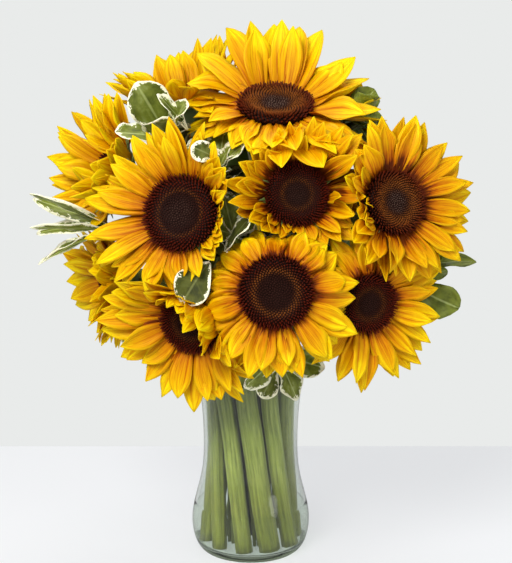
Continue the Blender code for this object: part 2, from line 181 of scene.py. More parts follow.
def thicken(piece: Object, thickness: float) -> None:
    """Gives a piece made of thin blades its thickness, half to each side.

    Args:
        piece: The object to thicken.
        thickness: The whole thickness.
    """
    wall = piece.modifiers.new("thickness", "SOLIDIFY")
    wall.thickness = thickness
    wall.offset = 0


def carry(shape: BMesh, *names: str) -> dict[str, BMLayerItem]:
    """Gives the corners of a shape room for values that its finish reads.

    Args:
        shape: The shape.
        names: What the values are called.

    Returns:
        The layers that hold them, by name.
    """
    return {name: shape.verts.layers.float.new(name) for name in names}


def spin_profile(profile: list[tuple[float, float]], steps: int, place: Matrix) -> BMesh:
    """A closed profile turned about its own Z axis.

    Args:
        profile: (radius, height) points; the first and the last lie on the axis.
        steps: Faces round the full turn.
        place: Where the turned shape goes.

    Returns:
        The turned shape, its poles merged and its faces outwards.
    """
    shape = bmesh.new()
    verts = [shape.verts.new((radius, 0, height)) for radius, height in profile]
    edges = [shape.edges.new(pair) for pair in pairwise(verts)]
    bmesh.ops.spin(
        shape,
        geom=[*verts, *edges],
        cent=(0, 0, 0),
        axis=(0, 0, 1),
        dvec=(0, 0, 0),
        angle=FULL_TURN,
        steps=steps,
        use_merge=True,
        use_duplicate=False,
    )
    bmesh.ops.remove_doubles(shape, verts=shape.verts, dist=MERGE)
    bmesh.ops.recalc_face_normals(shape, faces=shape.faces)
    bmesh.ops.transform(shape, matrix=place, verts=shape.verts)
    return shape


def curve_through(points: list[Vector], step: float) -> list[Vector]:
    """Even stations on the smooth curve through points that may lie at uneven distances.

    Args:
        points: The points to pass through.
        step: The distance between stations, near enough.

    Returns:
        The stations, from the first point to the last.
    """
    gaps = [(after - before).length for before, after in pairwise(points)]
    slopes = [(after - before) / gap for (before, after), gap in zip(pairwise(points), gaps)]
    tangents = [slopes[0]]
    for (first, second), (early, late) in zip(pairwise(slopes), pairwise(gaps)):
        tangents.append((first * late + second * early) / (early + late))
    tangents.append(slopes[-1])
    stations = [points[0].copy()]
    for k, gap in enumerate(gaps):
        count = max(1, round(gap / step))
        for i in range(1, count + 1):
            t = i / count
            stations.append(
                points[k] * (2 * t**3 - 3 * t**2 + 1)
                + tangents[k] * gap * (t**3 - 2 * t**2 + t)
                + points[k + 1] * (3 * t**2 - 2 * t**3)
                + tangents[k + 1] * gap * (t**3 - t**2)
            )
    return stations


def places_along(stations: list[Vector]) -> list[Matrix]:
    """A frame at each station whose Z follows the curve and whose X and Y don't spin round it.

    Args:
        stations: Points along the curve.

    Returns:
        One matrix for each.
    """
    headings = [(after - before).normalized() for before, after in pairwise(stations)]
    headings = [headings[0], *(a.lerp(b, 0.5).normalized() for a, b in pairwise(headings)), headings[-1]]
    turn = Vector((0, 0, 1)).rotation_difference(headings[0])
    places = []
    for before, heading, station in zip([headings[0], *headings], headings, stations):
        turn = before.rotation_difference(heading) @ turn
        places.append(Matrix.Translation(station) @ turn.to_matrix().to_4x4())
    return places


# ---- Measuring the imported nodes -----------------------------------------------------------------
def corners_of(node: str) -> list[Vector]:
    """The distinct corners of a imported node, whose mesh is loose triangles.

    Args:
        node: The node's name.

    Returns:
        Its corners, in no order.
    """
    return list({tuple(vert.co): vert.co.copy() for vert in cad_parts[node].data.vertices}.values())


def middle_of(points: list[Vector]) -> Vector:
    """The mean of some points."""
    return sum(points, Vector()) / len(points)


def ring_middles(node: str, sides: int, count: int) -> tuple[list[Vector], float, list[Vector]]:
    """Follows a packed rod from its foot, ring by ring.

    Args:
        node: The rod's node.
        sides: Corners in each ring.
        count: Rings to follow.

    Returns:
        The middle of each ring, the rod's radius at its foot, and the corners past the last ring.
    """
    left = sorted(corners_of(node), key=lambda point: point.z)
    middles, radius = [], 0.0
    for _ in range(count):
        if middles:
            left.sort(key=lambda point: (point - middles[-1]).length)
        ring, left = left[:sides], left[sides:]
        middles.append(middle_of(ring))
        radius = radius or max((point - middles[0]).length for point in ring)
    return middles, radius, left


@dataclass(frozen=True)
class Head:
    """Where a sunflower's head is: the middle of its rays' ring, its three directions and its size."""

    centre: Vector
    right: Vector
    top: Vector
    facing: Vector
    radius: float

    @classmethod
    def of(cls, name: str) -> "Head":
        """Reads a head from its packed seed disc, which is turned about the head's axis.

        Args:
            name: The flower's name.

        Returns:
            The head.
        """
        corners = corners_of(f"disc_{name}")
        middle = middle_of(corners)
        spread = np.array([corner - middle for corner in corners])
        facing = Vector(np.linalg.eigh(spread.T @ spread)[1][:, 0])
        low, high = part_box(f"stem_{name}")
        if facing.dot(middle - (low + high) / 2) < 0:
            facing.negate()
        heights = [facing.dot(corner - middle) for corner in corners]
        radius = max((c - middle - facing * h).length for c, h in zip(corners, heights))
        right = Vector((0, 0, 1)).cross(facing).normalized()
        centre = middle + facing * (min(heights) - DISC_SEAT)
        return cls(centre, right, facing.cross(right), facing, radius)

    @property
    def matrix(self) -> Matrix:
        """The head's frame: X to its right, Y to its top, Z the way it faces."""
        turn = Matrix((self.right, self.top, self.facing)).transposed().to_4x4()
        return Matrix.Translation(self.centre) @ turn

    def spoke_matrix(self, around: float, radius: float, lift: float) -> Matrix:
        """The frame of a blade on a spoke of the head: X across it, Y outwards, Z the way the head faces.

        Args:
            around: The spoke's angle, from the head's right towards its top.
            radius: How far out the blade's root is.
            lift: How far in front of the rays' ring.

        Returns:
            The blade's place.
        """
        turn = Matrix.Rotation(around - math.pi / 2, 4, "Z")
        return self.matrix @ turn @ Matrix.Translation((0, radius, lift))


@dataclass(frozen=True)
class Crown:
    """How long the rays are and how far forward they cup, wedge by wedge round the head."""

    lies: tuple[tuple[float, float], ...]

    SHORTEST = 8 * MM
    CRAMPED = 0.5  # of its neighbour's length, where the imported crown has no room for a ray
    WEDGE_SHARE = 0.9  # of a wedge's width, in which the corners of its own ray lie
    TIP_REACH = 2.6 * MM  # corners this near to the farthest one belong to the ray's tip

    @classmethod
    def of(cls, name: str, head: Head) -> "Crown":
        """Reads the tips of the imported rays.

        Args:
            name: The flower's name.
            head: Its head.

        Returns:
            The crown.
        """
        inverse = head.matrix.inverted()
        corners = [inverse @ corner for corner in corners_of(f"petals_{name}")]
        half = math.pi / WEDGES
        out = (head.radius + CROWN_EDGE) * math.cos(half)
        found: list[tuple[float, float] | None] = []
        for k in range(WEDGES):
            turn = Matrix.Rotation(-(2 * k + 1) * half, 3, "Z")
            rows = [turn @ corner - Vector((out, 0, 0)) for corner in corners]
            spread = half * cls.WEDGE_SHARE
            rows = [row for row in rows if row.x > -half * out and abs(row.y) < (out + row.x) * spread]
            far = max(rows, key=lambda row: row.length, default=Vector())
            if far.length < cls.SHORTEST:
                found.append(None)
                continue
            tip = middle_of([row for row in rows if (row - far).length < cls.TIP_REACH])
            found.append((math.hypot(tip.x, tip.z), math.atan2(tip.z, tip.x)))
        lies = []
        for k, lie in enumerate(found):
            if lie is None:
                near = [found[(k + side * step) % WEDGES] for step in range(1, 8) for side in (1, -1)]
                length, cup = next(other for other in near if other)
                lie = (length * cls.CRAMPED, cup)
            lies.append(lie)
        return cls(tuple(lies))

    def at(self, around: float) -> tuple[float, float]:
        """The (length, cup) of a ray anywhere round the head, mostly that of the nearest packed ray.

        Args:
            around: The angle round the head.

        Returns:
            Its length, and its cup in radians.
        """
        place = (around / FULL_TURN * WEDGES - 0.5) % WEDGES
        first = int(place)
        share = smooth(0.2, 0.8, place - first)
        before, after = self.lies[first % WEDGES], self.lies[(first + 1) % WEDGES]
        return (
            before[0] + (after[0] - before[0]) * share,
            before[1] + (after[1] - before[1]) * share,
        )


# ---- Shader nodes -------------------------------------------------------------------------------
@dataclass(frozen=True)
class Wire:
    """A value on its way through the shader nodes; arithmetic on it adds Math nodes."""

    nodes: "NodeBox"
    socket: NodeSocket

    def math(self, operation: str, *values: "Wire | float") -> "Wire":
        """The result of one Math node.

        Args:
            operation: The node's operation.
            values: Its inputs, wires or numbers.

        Returns:
            The node's output.
        """
        made = self.nodes.add("ShaderNodeMath", {"operation": operation}, dict(enumerate(values)))
        return self.nodes.wire(made, 0)

    def __add__(self, other: "Wire | float") -> "Wire":
        """self + other"""
        return self.math("ADD", self, other)

    def __radd__(self, other: float) -> "Wire":
        """other + self"""
        return self.math("ADD", other, self)

    def __sub__(self, other: "Wire | float") -> "Wire":
        """self - other"""
        return self.math("SUBTRACT", self, other)

    def __rsub__(self, other: float) -> "Wire":
        """other - self"""
        return self.math("SUBTRACT", other, self)

    def __mul__(self, other: "Wire | float") -> "Wire":
        """self * other"""
        return self.math("MULTIPLY", self, other)

    def __rmul__(self, other: float) -> "Wire":
        """other * self"""
        return self.math("MULTIPLY", other, self)

    def __truediv__(self, other: "Wire | float") -> "Wire":
        """self / other"""
        return self.math("DIVIDE", self, other)

    def __pow__(self, other: "Wire | float") -> "Wire":
        """self to the power of other"""
        return self.math("POWER", self, other)

    def __abs__(self) -> "Wire":
        """The size of self without its sign"""
        return self.math("ABSOLUTE", self)

    def cosine(self) -> "Wire":
        """The cosine of self, in radians."""
        return self.math("COSINE", self)

    def step(self, low: float, high: float) -> "Wire":
        """An eased step from 0 to 1.

        Args:
            low: Where it starts.
            high: Where it ends.

        Returns:
            The step's height.
        """
        made = self.nodes.add(
            "ShaderNodeMapRange",
            {"interpolation_type": "SMOOTHSTEP", "clamp": True},
            {"Value": self, "From Min": low, "From Max": high, "To Min": 0.0, "To Max": 1.0},
        )
        return self.nodes.wire(made, 0)


class NodeBox:
    """The nodes of one shader tree, added one at a time."""

    def __init__(self, tree: bpy.types.NodeTree) -> None:
        """Empties a tree.

        Args:
            tree: The tree.
        """
        self.tree = tree
        self.tree.nodes.clear()

    def add(self, kind: str, settings: dict | None = None, sockets: dict | None = None) -> Node:
        """Adds a node.

        Args:
            kind: The node's type.
            settings: Its settings, set first; "stops" holds a ramp's (position, colour) pairs.
            sockets: Its inputs by name or number, each a wire, a socket or a plain value.

        Returns:
            The node.
        """
        node = self.tree.nodes.new(kind)
        for key, value in (settings or {}).items():
            if key == "stops":
                self._set_stops(node.color_ramp, value)
            else:
                setattr(node, key, value)
        for key, value in (sockets or {}).items():
            target = node.inputs[key]
            if isinstance(value, Wire):
                self.tree.links.new(value.socket, target)
            elif isinstance(value, NodeSocket):
                self.tree.links.new(value, target)
            else:
                target.default_value = value
        return node

    @staticmethod
    def _set_stops(ramp: bpy.types.ColorRamp, stops: list[tuple[float, tuple]]) -> None:
        """Puts a ramp's colours in place.

        Args:
            ramp: The ramp.
            stops: (position, colour) pairs, in order.
        """
        while len(ramp.elements) < len(stops):
            ramp.elements.new(1.0)
        for element, (position, colour) in zip(ramp.elements, stops):
            element.position = position
            element.color = colour

    def wire(self, node: Node, output: str | int = 0) -> Wire:
        """One output of a node, ready for arithmetic."""
        return Wire(self, node.outputs[output])

    def attribute(self, name: str, output: str = "Fac") -> Wire:
        """A value that the piece's own mesh carries."""
        return self.wire(self.add("ShaderNodeAttribute", {"attribute_name": name}), output)

    def attributes(self, *names: str) -> list[Wire]:
        """Several values that the piece's own mesh carries."""
        return [self.attribute(name) for name in names]

    def grain(self) -> list[Wire]:
        """The rod's own coordinates: two across its section and the run along it."""
        parts = self.add("ShaderNodeSeparateXYZ", None, {0: self.attribute("grain", "Vector")})
        return [self.wire(parts, k) for k in range(3)]

    def vector(self, x: Wire | float, y: Wire | float, z: Wire | float) -> Wire:
        """A vector from its three values."""
        return self.wire(self.add("ShaderNodeCombineXYZ", None, {0: x, 1: y, 2: z}))

    def noise(self, vector: Wire, scale: float, detail: float = 2.0, rough: float = 0.5) -> Wire:
        """Soft noise, about 0.5 in the mean.

        Args:
            vector: Where it is read.
            scale: How fine it is.
            detail: How many finer layers it has.
            rough: How strong those are.

        Returns:
            The noise.
        """
        sockets = {"Vector": vector, "Scale": scale, "Detail": detail, "Roughness": rough}
        return self.wire(self.add("ShaderNodeTexNoise", None, sockets), "Fac")

    def ramp(self, value: Wire, *stops: tuple[float, tuple]) -> Wire:
        """A colour looked up on a ramp of (position, colour) stops."""
        return self.wire(self.add("ShaderNodeValToRGB", {"stops": stops}, {"Fac": value}), "Color")

    def mix(
        self, factor: Wire | float, first: Wire | tuple, second: Wire | tuple, blend: str = "MIX"
    ) -> Wire:
        """A mix of two colours.

        Args:
            factor: The share of the second.
            first: A colour.
            second: The other colour.
            blend: How the second is laid on the first.

        Returns:
            The mixed colour.
        """
        settings = {"data_type": "RGBA", "blend_type": blend, "clamp_factor": True}
        return self.wire(self.add("ShaderNodeMix", settings, {0: factor, 6: first, 7: second}), 2)

    def bump(self, height: Wire, strength: float, distance: float) -> Wire:
        """A normal that is rocked by a height.

        Args:
            height: The height, about 0 to 1.
            strength: How much of the bump shows.
            distance: What a height of 1 stands for, in metres.

        Returns:
            The normal.
        """
        sockets = {"Height": height, "Strength": strength, "Distance": distance}
        return self.wire(self.add("ShaderNodeBump", None, sockets))


class Paintbox(NodeBox):
    """The nodes of one material."""

    SHADE = (0.95, 0.97, 0.95, 1)  # what a clear piece lets through of the lamps' light

    def __init__(self, name: str) -> None:
        """Starts an empty material.

        Args:
            name: The material's name.
        """
        self.material = bpy.data.materials.new(name)
        self.material.use_nodes = True
        super().__init__(self.material.node_tree)

    def finish(self, sockets: dict) -> Material:
        """Closes the material with a Principled shader.

        Args:
            sockets: The shader's sockets.

        Returns:
            The material.
        """
        shader = self.add("ShaderNodeBsdfPrincipled", None, sockets)
        self.add("ShaderNodeOutputMaterial", None, {"Surface": shader.outputs[0]})
        return self.material

    def finish_clear(self, sockets: dict, body: tuple | None = None, density: float = 0.0) -> Material:
        """Closes the material with a clear Principled shader that lets the lamps' light straight through.

        Args:
            sockets: The shader's sockets.
            body: The colour that deep glass takes, where it has one.
            density: How fast light takes that colour on.

        Returns:
            The material.
        """
        shader = self.add("ShaderNodeBsdfPrincipled", None, sockets)
        clear = self.add("ShaderNodeBsdfTransparent", None, {"Color": self.SHADE})
        shadow = self.add("ShaderNodeLightPath").outputs["Is Shadow Ray"]
        shaders = {0: shadow, 1: shader.outputs[0], 2: clear.outputs[0]}
        ends = {"Surface": self.add("ShaderNodeMixShader", None, shaders).outputs[0]}
        if body:
            deep = self.add("ShaderNodeVolumeAbsorption", None, {"Color": body, "Density": density})
            ends["Volume"] = deep.outputs[0]
        self.add("ShaderNodeOutputMaterial", None, ends)
        return self.material


# ---- Finishes -----------------------------------------------------------------------------------
def translucent(weight: float, colours: tuple[float, float, float], depth: float = 1.5 * MM) -> dict:
    """The sockets that let light soak into a thin living thing.

    Args:
        weight: How much of the light does.
        colours: How far each colour goes, as a share of the depth.
        depth: How far the light goes.

    Returns:
        The sockets.
    """
    return {"Subsurface Weight": weight, "Subsurface Radius": colours, "Subsurface Scale": depth}


@dataclass(frozen=True)
class RayFinish:
    """Satin ray petals: red-brown at the claw, orange and golden along the blade, lemon at the tip, with
    painted shade in the grooves between the ribs and along fine creases.
    """

    claw: tuple = srgb(96, 40, 0)
    ember: tuple = srgb(156, 78, 0)
    orange: tuple = srgb(198, 120, 0)
    golden: tuple = srgb(216, 150, 0)
    yellow: tuple = srgb(230, 178, 0)
    lemon: tuple = srgb(250, 222, 10)

    def build(self) -> Material:
        """Mixes the finish.

        Returns:
            The material of the rays.
        """
        box = Paintbox("ray_satin")
        across, along, tone, warmth = box.attributes("across", "along", "tone", "warmth")
        streak = box.noise(box.vector(across * 4.2 + tone * 31, along * 0.7, tone * 17), 1.0, 3, 0.6)
        cloud = box.noise(box.vector(across * 1.1 + tone * 53, along * 3.0, tone * 29), 1.0, 2)
        swing = (streak - 0.5) * 1.3 + (cloud - 0.5) * 0.6
        place = along * 0.88 + 0.12 + swing * (0.35 + along * 0.8)
        place = place - warmth * (0.5 - along * 0.15) + (tone - 0.5) * 0.3
        colour = box.ramp(
            place,
            (0.0, self.claw),
            (0.07, self.ember),
            (0.17, self.orange),
            (0.36, self.golden),
            (0.68, self.yellow),
            (0.98, self.lemon),
        )
        edge = abs(across).step(0.72, 1.0)
        colour = box.mix(edge * along.step(0.1, 0.5) * 0.5, colour, self.lemon)
        rib = (across * (3 * math.pi)).cosine() * 0.5 + 0.5
        fine = box.noise(box.vector(across * 14 + tone * 31, along * 1.6, tone * 9), 1.0, 2)
        # painted shade in the grooves between the ribs and along fine creases
        crease_shade = fine.step(0.5, 0.66) * (0.7 - along * 0.35)
        colour = box.mix((1 - rib) * (0.4 - along * 0.2) + crease_shade, colour, self.orange, "MULTIPLY")
        return box.finish(
            {
                "Base Color": colour,
                "Roughness": 0.42 + fine * 0.18,
                "Normal": box.bump(rib * 0.5 + fine * 0.7, 0.6, 0.7 * MM),
                "Specular IOR Level": 0.08,
                **translucent(0.12, (1.0, 0.6, 0.02)),
            }
        )


@dataclass(frozen=True)
class FloretFinish:
    """Seed disc florets: near black, with a russet ring, an ash-brown middle and a maroon fringe, and
    painted shade at their feet.
    """

    # painted shade at the florets' feet and on the disc between them
    pit: tuple = srgb(30, 9, 3)
    black: tuple = srgb(44, 18, 12)
    maroon: tuple = srgb(92, 26, 8)
    russet: tuple = srgb(142, 80, 28)
    ash: tuple = srgb(104, 84, 74)

    def build(self) -> Material:
        """Mixes the finish.

        Returns:
            The material of the florets and of the disc under them.
        """
        box = Paintbox("floret_velvet")
        ring, ash, fringe, height, tone = box.attributes(*FLORET_VALUES)
        body = box.mix(fringe * (0.35 + tone * 0.65), self.black, self.maroon)
        body = box.mix(ring * (0.6 + tone * 0.4), body, self.russet)
        body = box.mix(ash * height.step(0.4, 1.0) * (0.3 + tone * 0.7), body, self.ash)
        # painted shade at each floret's foot and on the disc between them, less in the russet ring
        colour = box.mix(height.step(0.0, 0.6) + ring, self.pit, body)
        return box.finish(
            {
                "Base Color": colour,
                "Roughness": 0.62 + tone * 0.25,
                "Specular IOR Level": 0.08,
            }
        )


@dataclass(frozen=True)
class StalkFinish:
    """Ribbed stalks: pale yellow-green with fine streaks and white pith where cut, with painted shade low
    in the vase, towards the top under the heads and on the stalks deep among the others.
    """

    pale: tuple = srgb(186, 194, 104)
    green: tuple = srgb(138, 150, 60)
    deep: tuple = srgb(76, 86, 20)
    # painted shade, multiplied onto the stalks low in the vase
    water_and_low_shade: tuple = srgb(196, 190, 160)
    # painted shade, multiplied onto the stalks deep among the others
    dim: tuple = srgb(98, 92, 62)
    pith: tuple = srgb(226, 229, 190)

    def build(self) -> Material:
        """Mixes the finish.

        Returns:
            The material of the stalks.
        """
        box = Paintbox("stalk_ribbed")
        x, y, run = box.grain()
        tone, inner, pith, high, low = box.attributes(*ROD_VALUES)
        streak = box.noise(box.vector(x * 3.4 + tone * 40, y * 3.4, run * 2.2), 1.0, 4, 0.65)
        patch = box.noise(box.vector(x * 0.7 + tone * 40, y * 0.7, run * 9), 1.0, 2)
        fleck = box.noise(box.vector(x * 9 + tone * 13, y * 9, run * 60), 1.0, 1)
        colour = box.mix(streak.step(0.3, 0.72), self.deep, self.pale)
        colour = box.mix(0.25 + patch.step(0.25, 0.75) * 0.45, colour, self.green)
        # painted shade towards the top, where the heads shadow the stalks
        colour = box.mix(high * 0.4, colour, self.deep)
        # painted shade low in the vase
        colour = box.mix(low, colour, self.water_and_low_shade, "MULTIPLY")
        colour = box.mix(fleck.step(0.62, 0.8) * 0.25, colour, self.pale)
        # painted shade on the stalks deep among the others
        colour = box.mix(inner, colour, self.dim, "MULTIPLY")
        colour = box.mix(pith, colour, self.pith)
        return box.finish(
            {
                "Base Color": colour,
                "Roughness": 0.48 + patch * 0.2,
                "Normal": box.bump(streak + fleck * 0.3, 0.3, 0.5 * MM),
                "Specular IOR Level": 0.4,
                "Sheen Weight": 0.1,
                **translucent(0.08, (0.6, 1.0, 0.2), 2 * MM),
            }
        )


@dataclass(frozen=True)
class BractFinish:
    """Bracts and the green cup behind a head: mid green with pale veins and a lighter edge."""

    dark: tuple = srgb(70, 92, 30)
    green: tuple = srgb(108, 132, 48)
    light: tuple = srgb(158, 172, 92)

    def build(self) -> Material:
        """Mixes the finish.

        Returns:
            The material of the bracts and the cup.
        """
        box = Paintbox("bract_green")
        across, along, tone = box.attributes("across", "along", "tone")
        vein = box.noise(box.vector(across * 6 + tone * 23, along * 1.5, tone * 7), 1.0, 3, 0.6)
        colour = box.mix(vein.step(0.3, 0.7), self.dark, self.green)
        colour = box.mix(abs(across).step(0.6, 1.0) * 0.6 + along * 0.2, colour, self.light)
        return box.finish(
            {
                "Base Color": colour,
                "Roughness": 0.6,
                "Normal": box.bump(vein, 0.4, 0.4 * MM),
                "Sheen Weight": 0.15,
                **translucent(0.1, (0.5, 1.0, 0.2)),
            }
        )


@dataclass(frozen=True)
class LeafFinish:
    """Pittosporum leaves: grey-green cloudy blades with a jagged cream margin and a pale midrib, with
    painted shade on the leaves deep in the bunch.
    """

    deep: tuple = srgb(82, 92, 18)
    green: tuple = srgb(128, 138, 46)
    grey: tuple = srgb(158, 168, 104)
    cream: tuple = srgb(248, 246, 214)
    midrib: tuple = srgb(190, 200, 128)
    # painted shade for the leaves deep in the bunch
    dim: tuple = srgb(110, 106, 56)

    def build(self) -> Material:
        """Mixes the finish.

        Returns:
            The material of the leaves.
        """
        box = Paintbox("leaf_variegated")
        across, along, tone = box.attributes("across", "along", "tone")
        margin, plain, inner = box.attributes("margin", "plain", "inner")
        cloud = box.noise(box.vector(across * 1.6 + tone * 61, along * 3.4, tone * 19), 1.0, 3, 0.6)
        jag = box.noise(box.vector(across * 3 + tone * 37, along * 11, tone * 5), 1.0, 3, 0.7)
        colour = box.mix(cloud.step(0.3, 0.62), self.deep, self.green)
        # leaves in painted shade lose their grey clouds
        colour = box.mix(cloud.step(0.52, 0.72) * (1 - plain) * (1 - inner), colour, self.grey)
        rib = 1 - abs(across).step(0.02, 0.09)
        side = box.noise(box.vector(abs(across) * 3 - along * 14, tone * 9, 0.0), 1.0, 1)
        colour = box.mix(rib * 0.6 + side.step(0.6, 0.75) * 0.12, colour, self.midrib)
        width = 0.95 + (jag - 0.5) * 6.2 + (cloud - 0.5) * 2.2
        cream = (1 - (margin / 1.9 - width).step(-0.12, 0.22)) * (1 - plain)
        # painted shade deep in the bunch, on the blade and then on the cream margin
        colour = box.mix(inner, colour, self.dim, "MULTIPLY")
        colour = box.mix(cream, colour, box.mix(inner.step(0.8, 1.0), self.cream, self.dim))
        return box.finish(
            {
                "Base Color": colour,
                "Roughness": 0.36 + jag * 0.16 + inner * 0.35,
                "Normal": box.bump(rib * -0.5 + side * 0.5, 0.35, 0.5 * MM),
                "Specular IOR Level": 0.32,
                **translucent(0.1, (0.6, 1.0, 0.3)),
            }
        )


@dataclass(frozen=True)
class TwigFinish:
    """The sprigs' woody stems: brown-green bark with pale specks."""

    bark: tuple = srgb(86, 78, 44)
    green: tuple = srgb(112, 124, 64)

    def build(self) -> Material:
        """Mixes the finish.

        Returns:
            The material of the twigs.
        """
        box = Paintbox("twig_bark")
        x, y, run = box.grain()
        streak = box.noise(box.vector(x * 6, y * 6, run * 14), 1.0, 3, 0.6)
        return box.finish(
            {
                "Base Color": box.mix(streak.step(0.35, 0.65), self.bark, self.green),
                "Roughness": 0.7,
                "Normal": box.bump(streak, 0.5, 0.4 * MM),
            }
        )


@dataclass(frozen=True)
class GlassFinish:
    """Clear soda glass with a faint green body."""

    tint: tuple = (0.93, 0.965, 0.94, 1)
    deep: tuple = srgb(140, 158, 112)
    density: float = 26.0  # per metre

    def build(self) -> Material:
        """Mixes the finish.

        Returns:
            The material of the vase.
        """
        sockets = {"Base Color": self.tint, "Roughness": 0.0, "IOR": 1.43, "Transmission Weight": 1.0}
        return Paintbox("glass_clear").finish_clear(sockets, self.deep, self.density)


@dataclass(frozen=True)
class WaterFinish:
    """Clear water, very slightly green from the stems, that hardly bends the light."""

    tint: tuple = (0.93, 0.965, 0.92, 1)

    def build(self) -> Material:
        """Mixes the finish.

        Returns:
            The material of the water.
        """
        sockets = {"Base Color": self.tint, "Roughness": 0.0, "IOR": 1.04, "Transmission Weight": 1.0}
        return Paintbox("water_clear").finish_clear(sockets)


@dataclass(frozen=True)
class TableFinish:
    """The plain pale floor."""

    pale: tuple = srgb(160, 161, 163)
    mirrored: tuple = srgb(36, 37, 38)  # the colour of its glow where a surface mirrors it
    glow: float = 1.44  # stands for the light of soft boxes under a translucent top
    kept: float = 0.85  # share of its paleness that the glow keeps where it shows through the glass

    def build(self) -> Material:
        """Mixes the finish.

        Returns:
            The material of the floor.
        """
        box = Paintbox("table_pale")
        path = box.add("ShaderNodeLightPath")
        through = box.wire(path, "Is Transmission Ray")
        mirror = box.wire(path, "Is Glossy Ray") * (1 - through * self.kept)
        return box.finish(
            {
                "Base Color": self.pale,
                "Roughness": 0.5,
                "Specular IOR Level": 0.3,
                "Emission Color": box.mix(mirror, self.pale, self.mirrored),
                "Emission Strength": self.glow,
            }
        )


@dataclass(frozen=True)
class Finishes:
    """Every finish, built once."""

    ray: Material = field(default_factory=RayFinish().build)
    floret: Material = field(default_factory=FloretFinish().build)
    stalk: Material = field(default_factory=StalkFinish().build)
    bract: Material = field(default_factory=BractFinish().build)
    leaf: Material = field(default_factory=LeafFinish().build)
    twig: Material = field(default_factory=TwigFinish().build)
    glass: Material = field(default_factory=GlassFinish().build)
    water: Material = field(default_factory=WaterFinish().build)


# ---- Blades: rays, bracts and leaves ------------------------------------------------------------
class Outline(Enum):
    """The outline of a blade, as its half width at a share of its length."""

    RAY = "ray"
    BRACT = "bract"
    LEAF = "leaf"

    def width_at(self, along: float) -> float:
        """The share of the blade's full width.

        Args:
            along: 0 at the root to 1 at the tip.

        Returns:
            0 to 1.
        """
        if self is Outline.RAY:
            if along < RAY_WIDEST:
                return 0.5 + 0.5 * math.sin(along / RAY_WIDEST * math.pi / 2)
            return 1 - ((along - RAY_WIDEST) / (1 - RAY_WIDEST)) ** 1.9
        if self is Outline.BRACT:
            if along < BRACT_WIDEST:
                return 0.8 + 0.2 * math.sin(along / BRACT_WIDEST * math.pi / 2)
            return 1 - ((along - BRACT_WIDEST) / (1 - BRACT_WIDEST)) ** 1.3
        return max(math.sin(math.pi * (0.03 + 0.965 * along) ** 1.5), 0.0) ** 0.6


@dataclass(frozen=True)
class Blade:
    """A thin blade that grows along +Y of its own frame, with X across it and Z its upper side."""

    outline: Outline
    length: float
    width: float
    cup: float = 0.0  # how far its chord rises towards Z, in radians
    curl: float = 0.0  # how much further its tip turns up than its root
    fold: float = 0.0  # how far its edges rise, as a share of its half width
    pleat: float = 0.0  # depth of its ribs
    twist: float = 0.0  # how far its tip is turned about its own length
    sway: float = 0.0  # how far its tip leans sideways, as a share of its length
    ripple: float = 0.0  # height of the waves along its edges, as a share of its half width
    waves: float = 2.0
    phase: float = 0.0
    columns: int = 6
    rows: int = 11
    tip: float = 0.35 * MM

    CLAW = 0.1  # share of the length over which it turns up from its ring
    FAR_EDGE = -0.7  # the waves of its left edge, as a share of those of its right edge
    TIP_MARGIN = 0.6  # how soon the margin closes round the tip

    def slope(self, along: float) -> float:
        """How steeply it rises at a share of its length."""
        return self.cup * smooth(-0.02, self.CLAW, along) + self.curl * (along - 0.5)

    def spine(self) -> list[tuple[float, float, float]]:
        """Its middle line.

        Returns:
            (out, up, slope) at every row.
        """
        step = self.length / self.rows
        out = up = 0.0
        spine = [(out, up, self.slope(0))]
        for row in range(self.rows):
            slope = self.slope((row + 0.5) / self.rows)
            out += step * math.cos(slope)
            up += step * math.sin(slope)
            spine.append((out, up, self.slope((row + 1) / self.rows)))
        return spine

    def add_to(self, shape: BMesh, place: Matrix, values: dict[str, float]) -> None:
        """Adds the blade to a shape, with what its finish needs to know at every corner.

        Args:
            shape: The shape that it joins.
            place: Its frame.
            values: Further values that are the same all over it, by attribute.
        """
        layers = shape.verts.layers.float
        spine = self.spine()
        grid = bmesh.ops.create_grid(shape, x_segments=self.columns, y_segments=self.rows, size=0.5)
        for vert in grid["verts"]:
            across, along = 2 * vert.co.x, vert.co.y + 0.5
            out, up, slope = spine[round(along * self.rows)]
            half = max(self.width / 2 * self.outline.width_at(along), self.tip)
            side = across * half
            ridge = self.pleat * math.cos(across * self.columns / 2 * math.pi)
            wave = self.ripple * half * across**2 * math.sin(FULL_TURN * self.waves * along + self.phase)
            wave *= 1 if across > 0 else self.FAR_EDGE
            rise = self.fold * half * across**2 + ridge * smooth(1.0, 0.6, along) + wave
            turn = self.twist * along
            x = side * math.cos(turn) - rise * math.sin(turn) + self.sway * self.length * along**2
            lift = side * math.sin(turn) + rise * math.cos(turn)
            vert.co = place @ Vector((x, out - lift * math.sin(slope), up + lift * math.cos(slope)))
            vert[layers["across"]] = across
            vert[layers["along"]] = along
            if "margin" in layers:
                end = (1 - along) * self.length * self.TIP_MARGIN
                vert[layers["margin"]] = min((1 - abs(across)) * half, end) / MM
            for name, value in values.items():
                vert[layers[name]] = value


def new_blades(*names: str) -> BMesh:
    """An empty shape for blades.

    Args:
        names: The values that its corners carry besides across and along.

    Returns:
        The shape.
    """
    shape = bmesh.new()
    carry(shape, "across", "along", *names)
    return shape


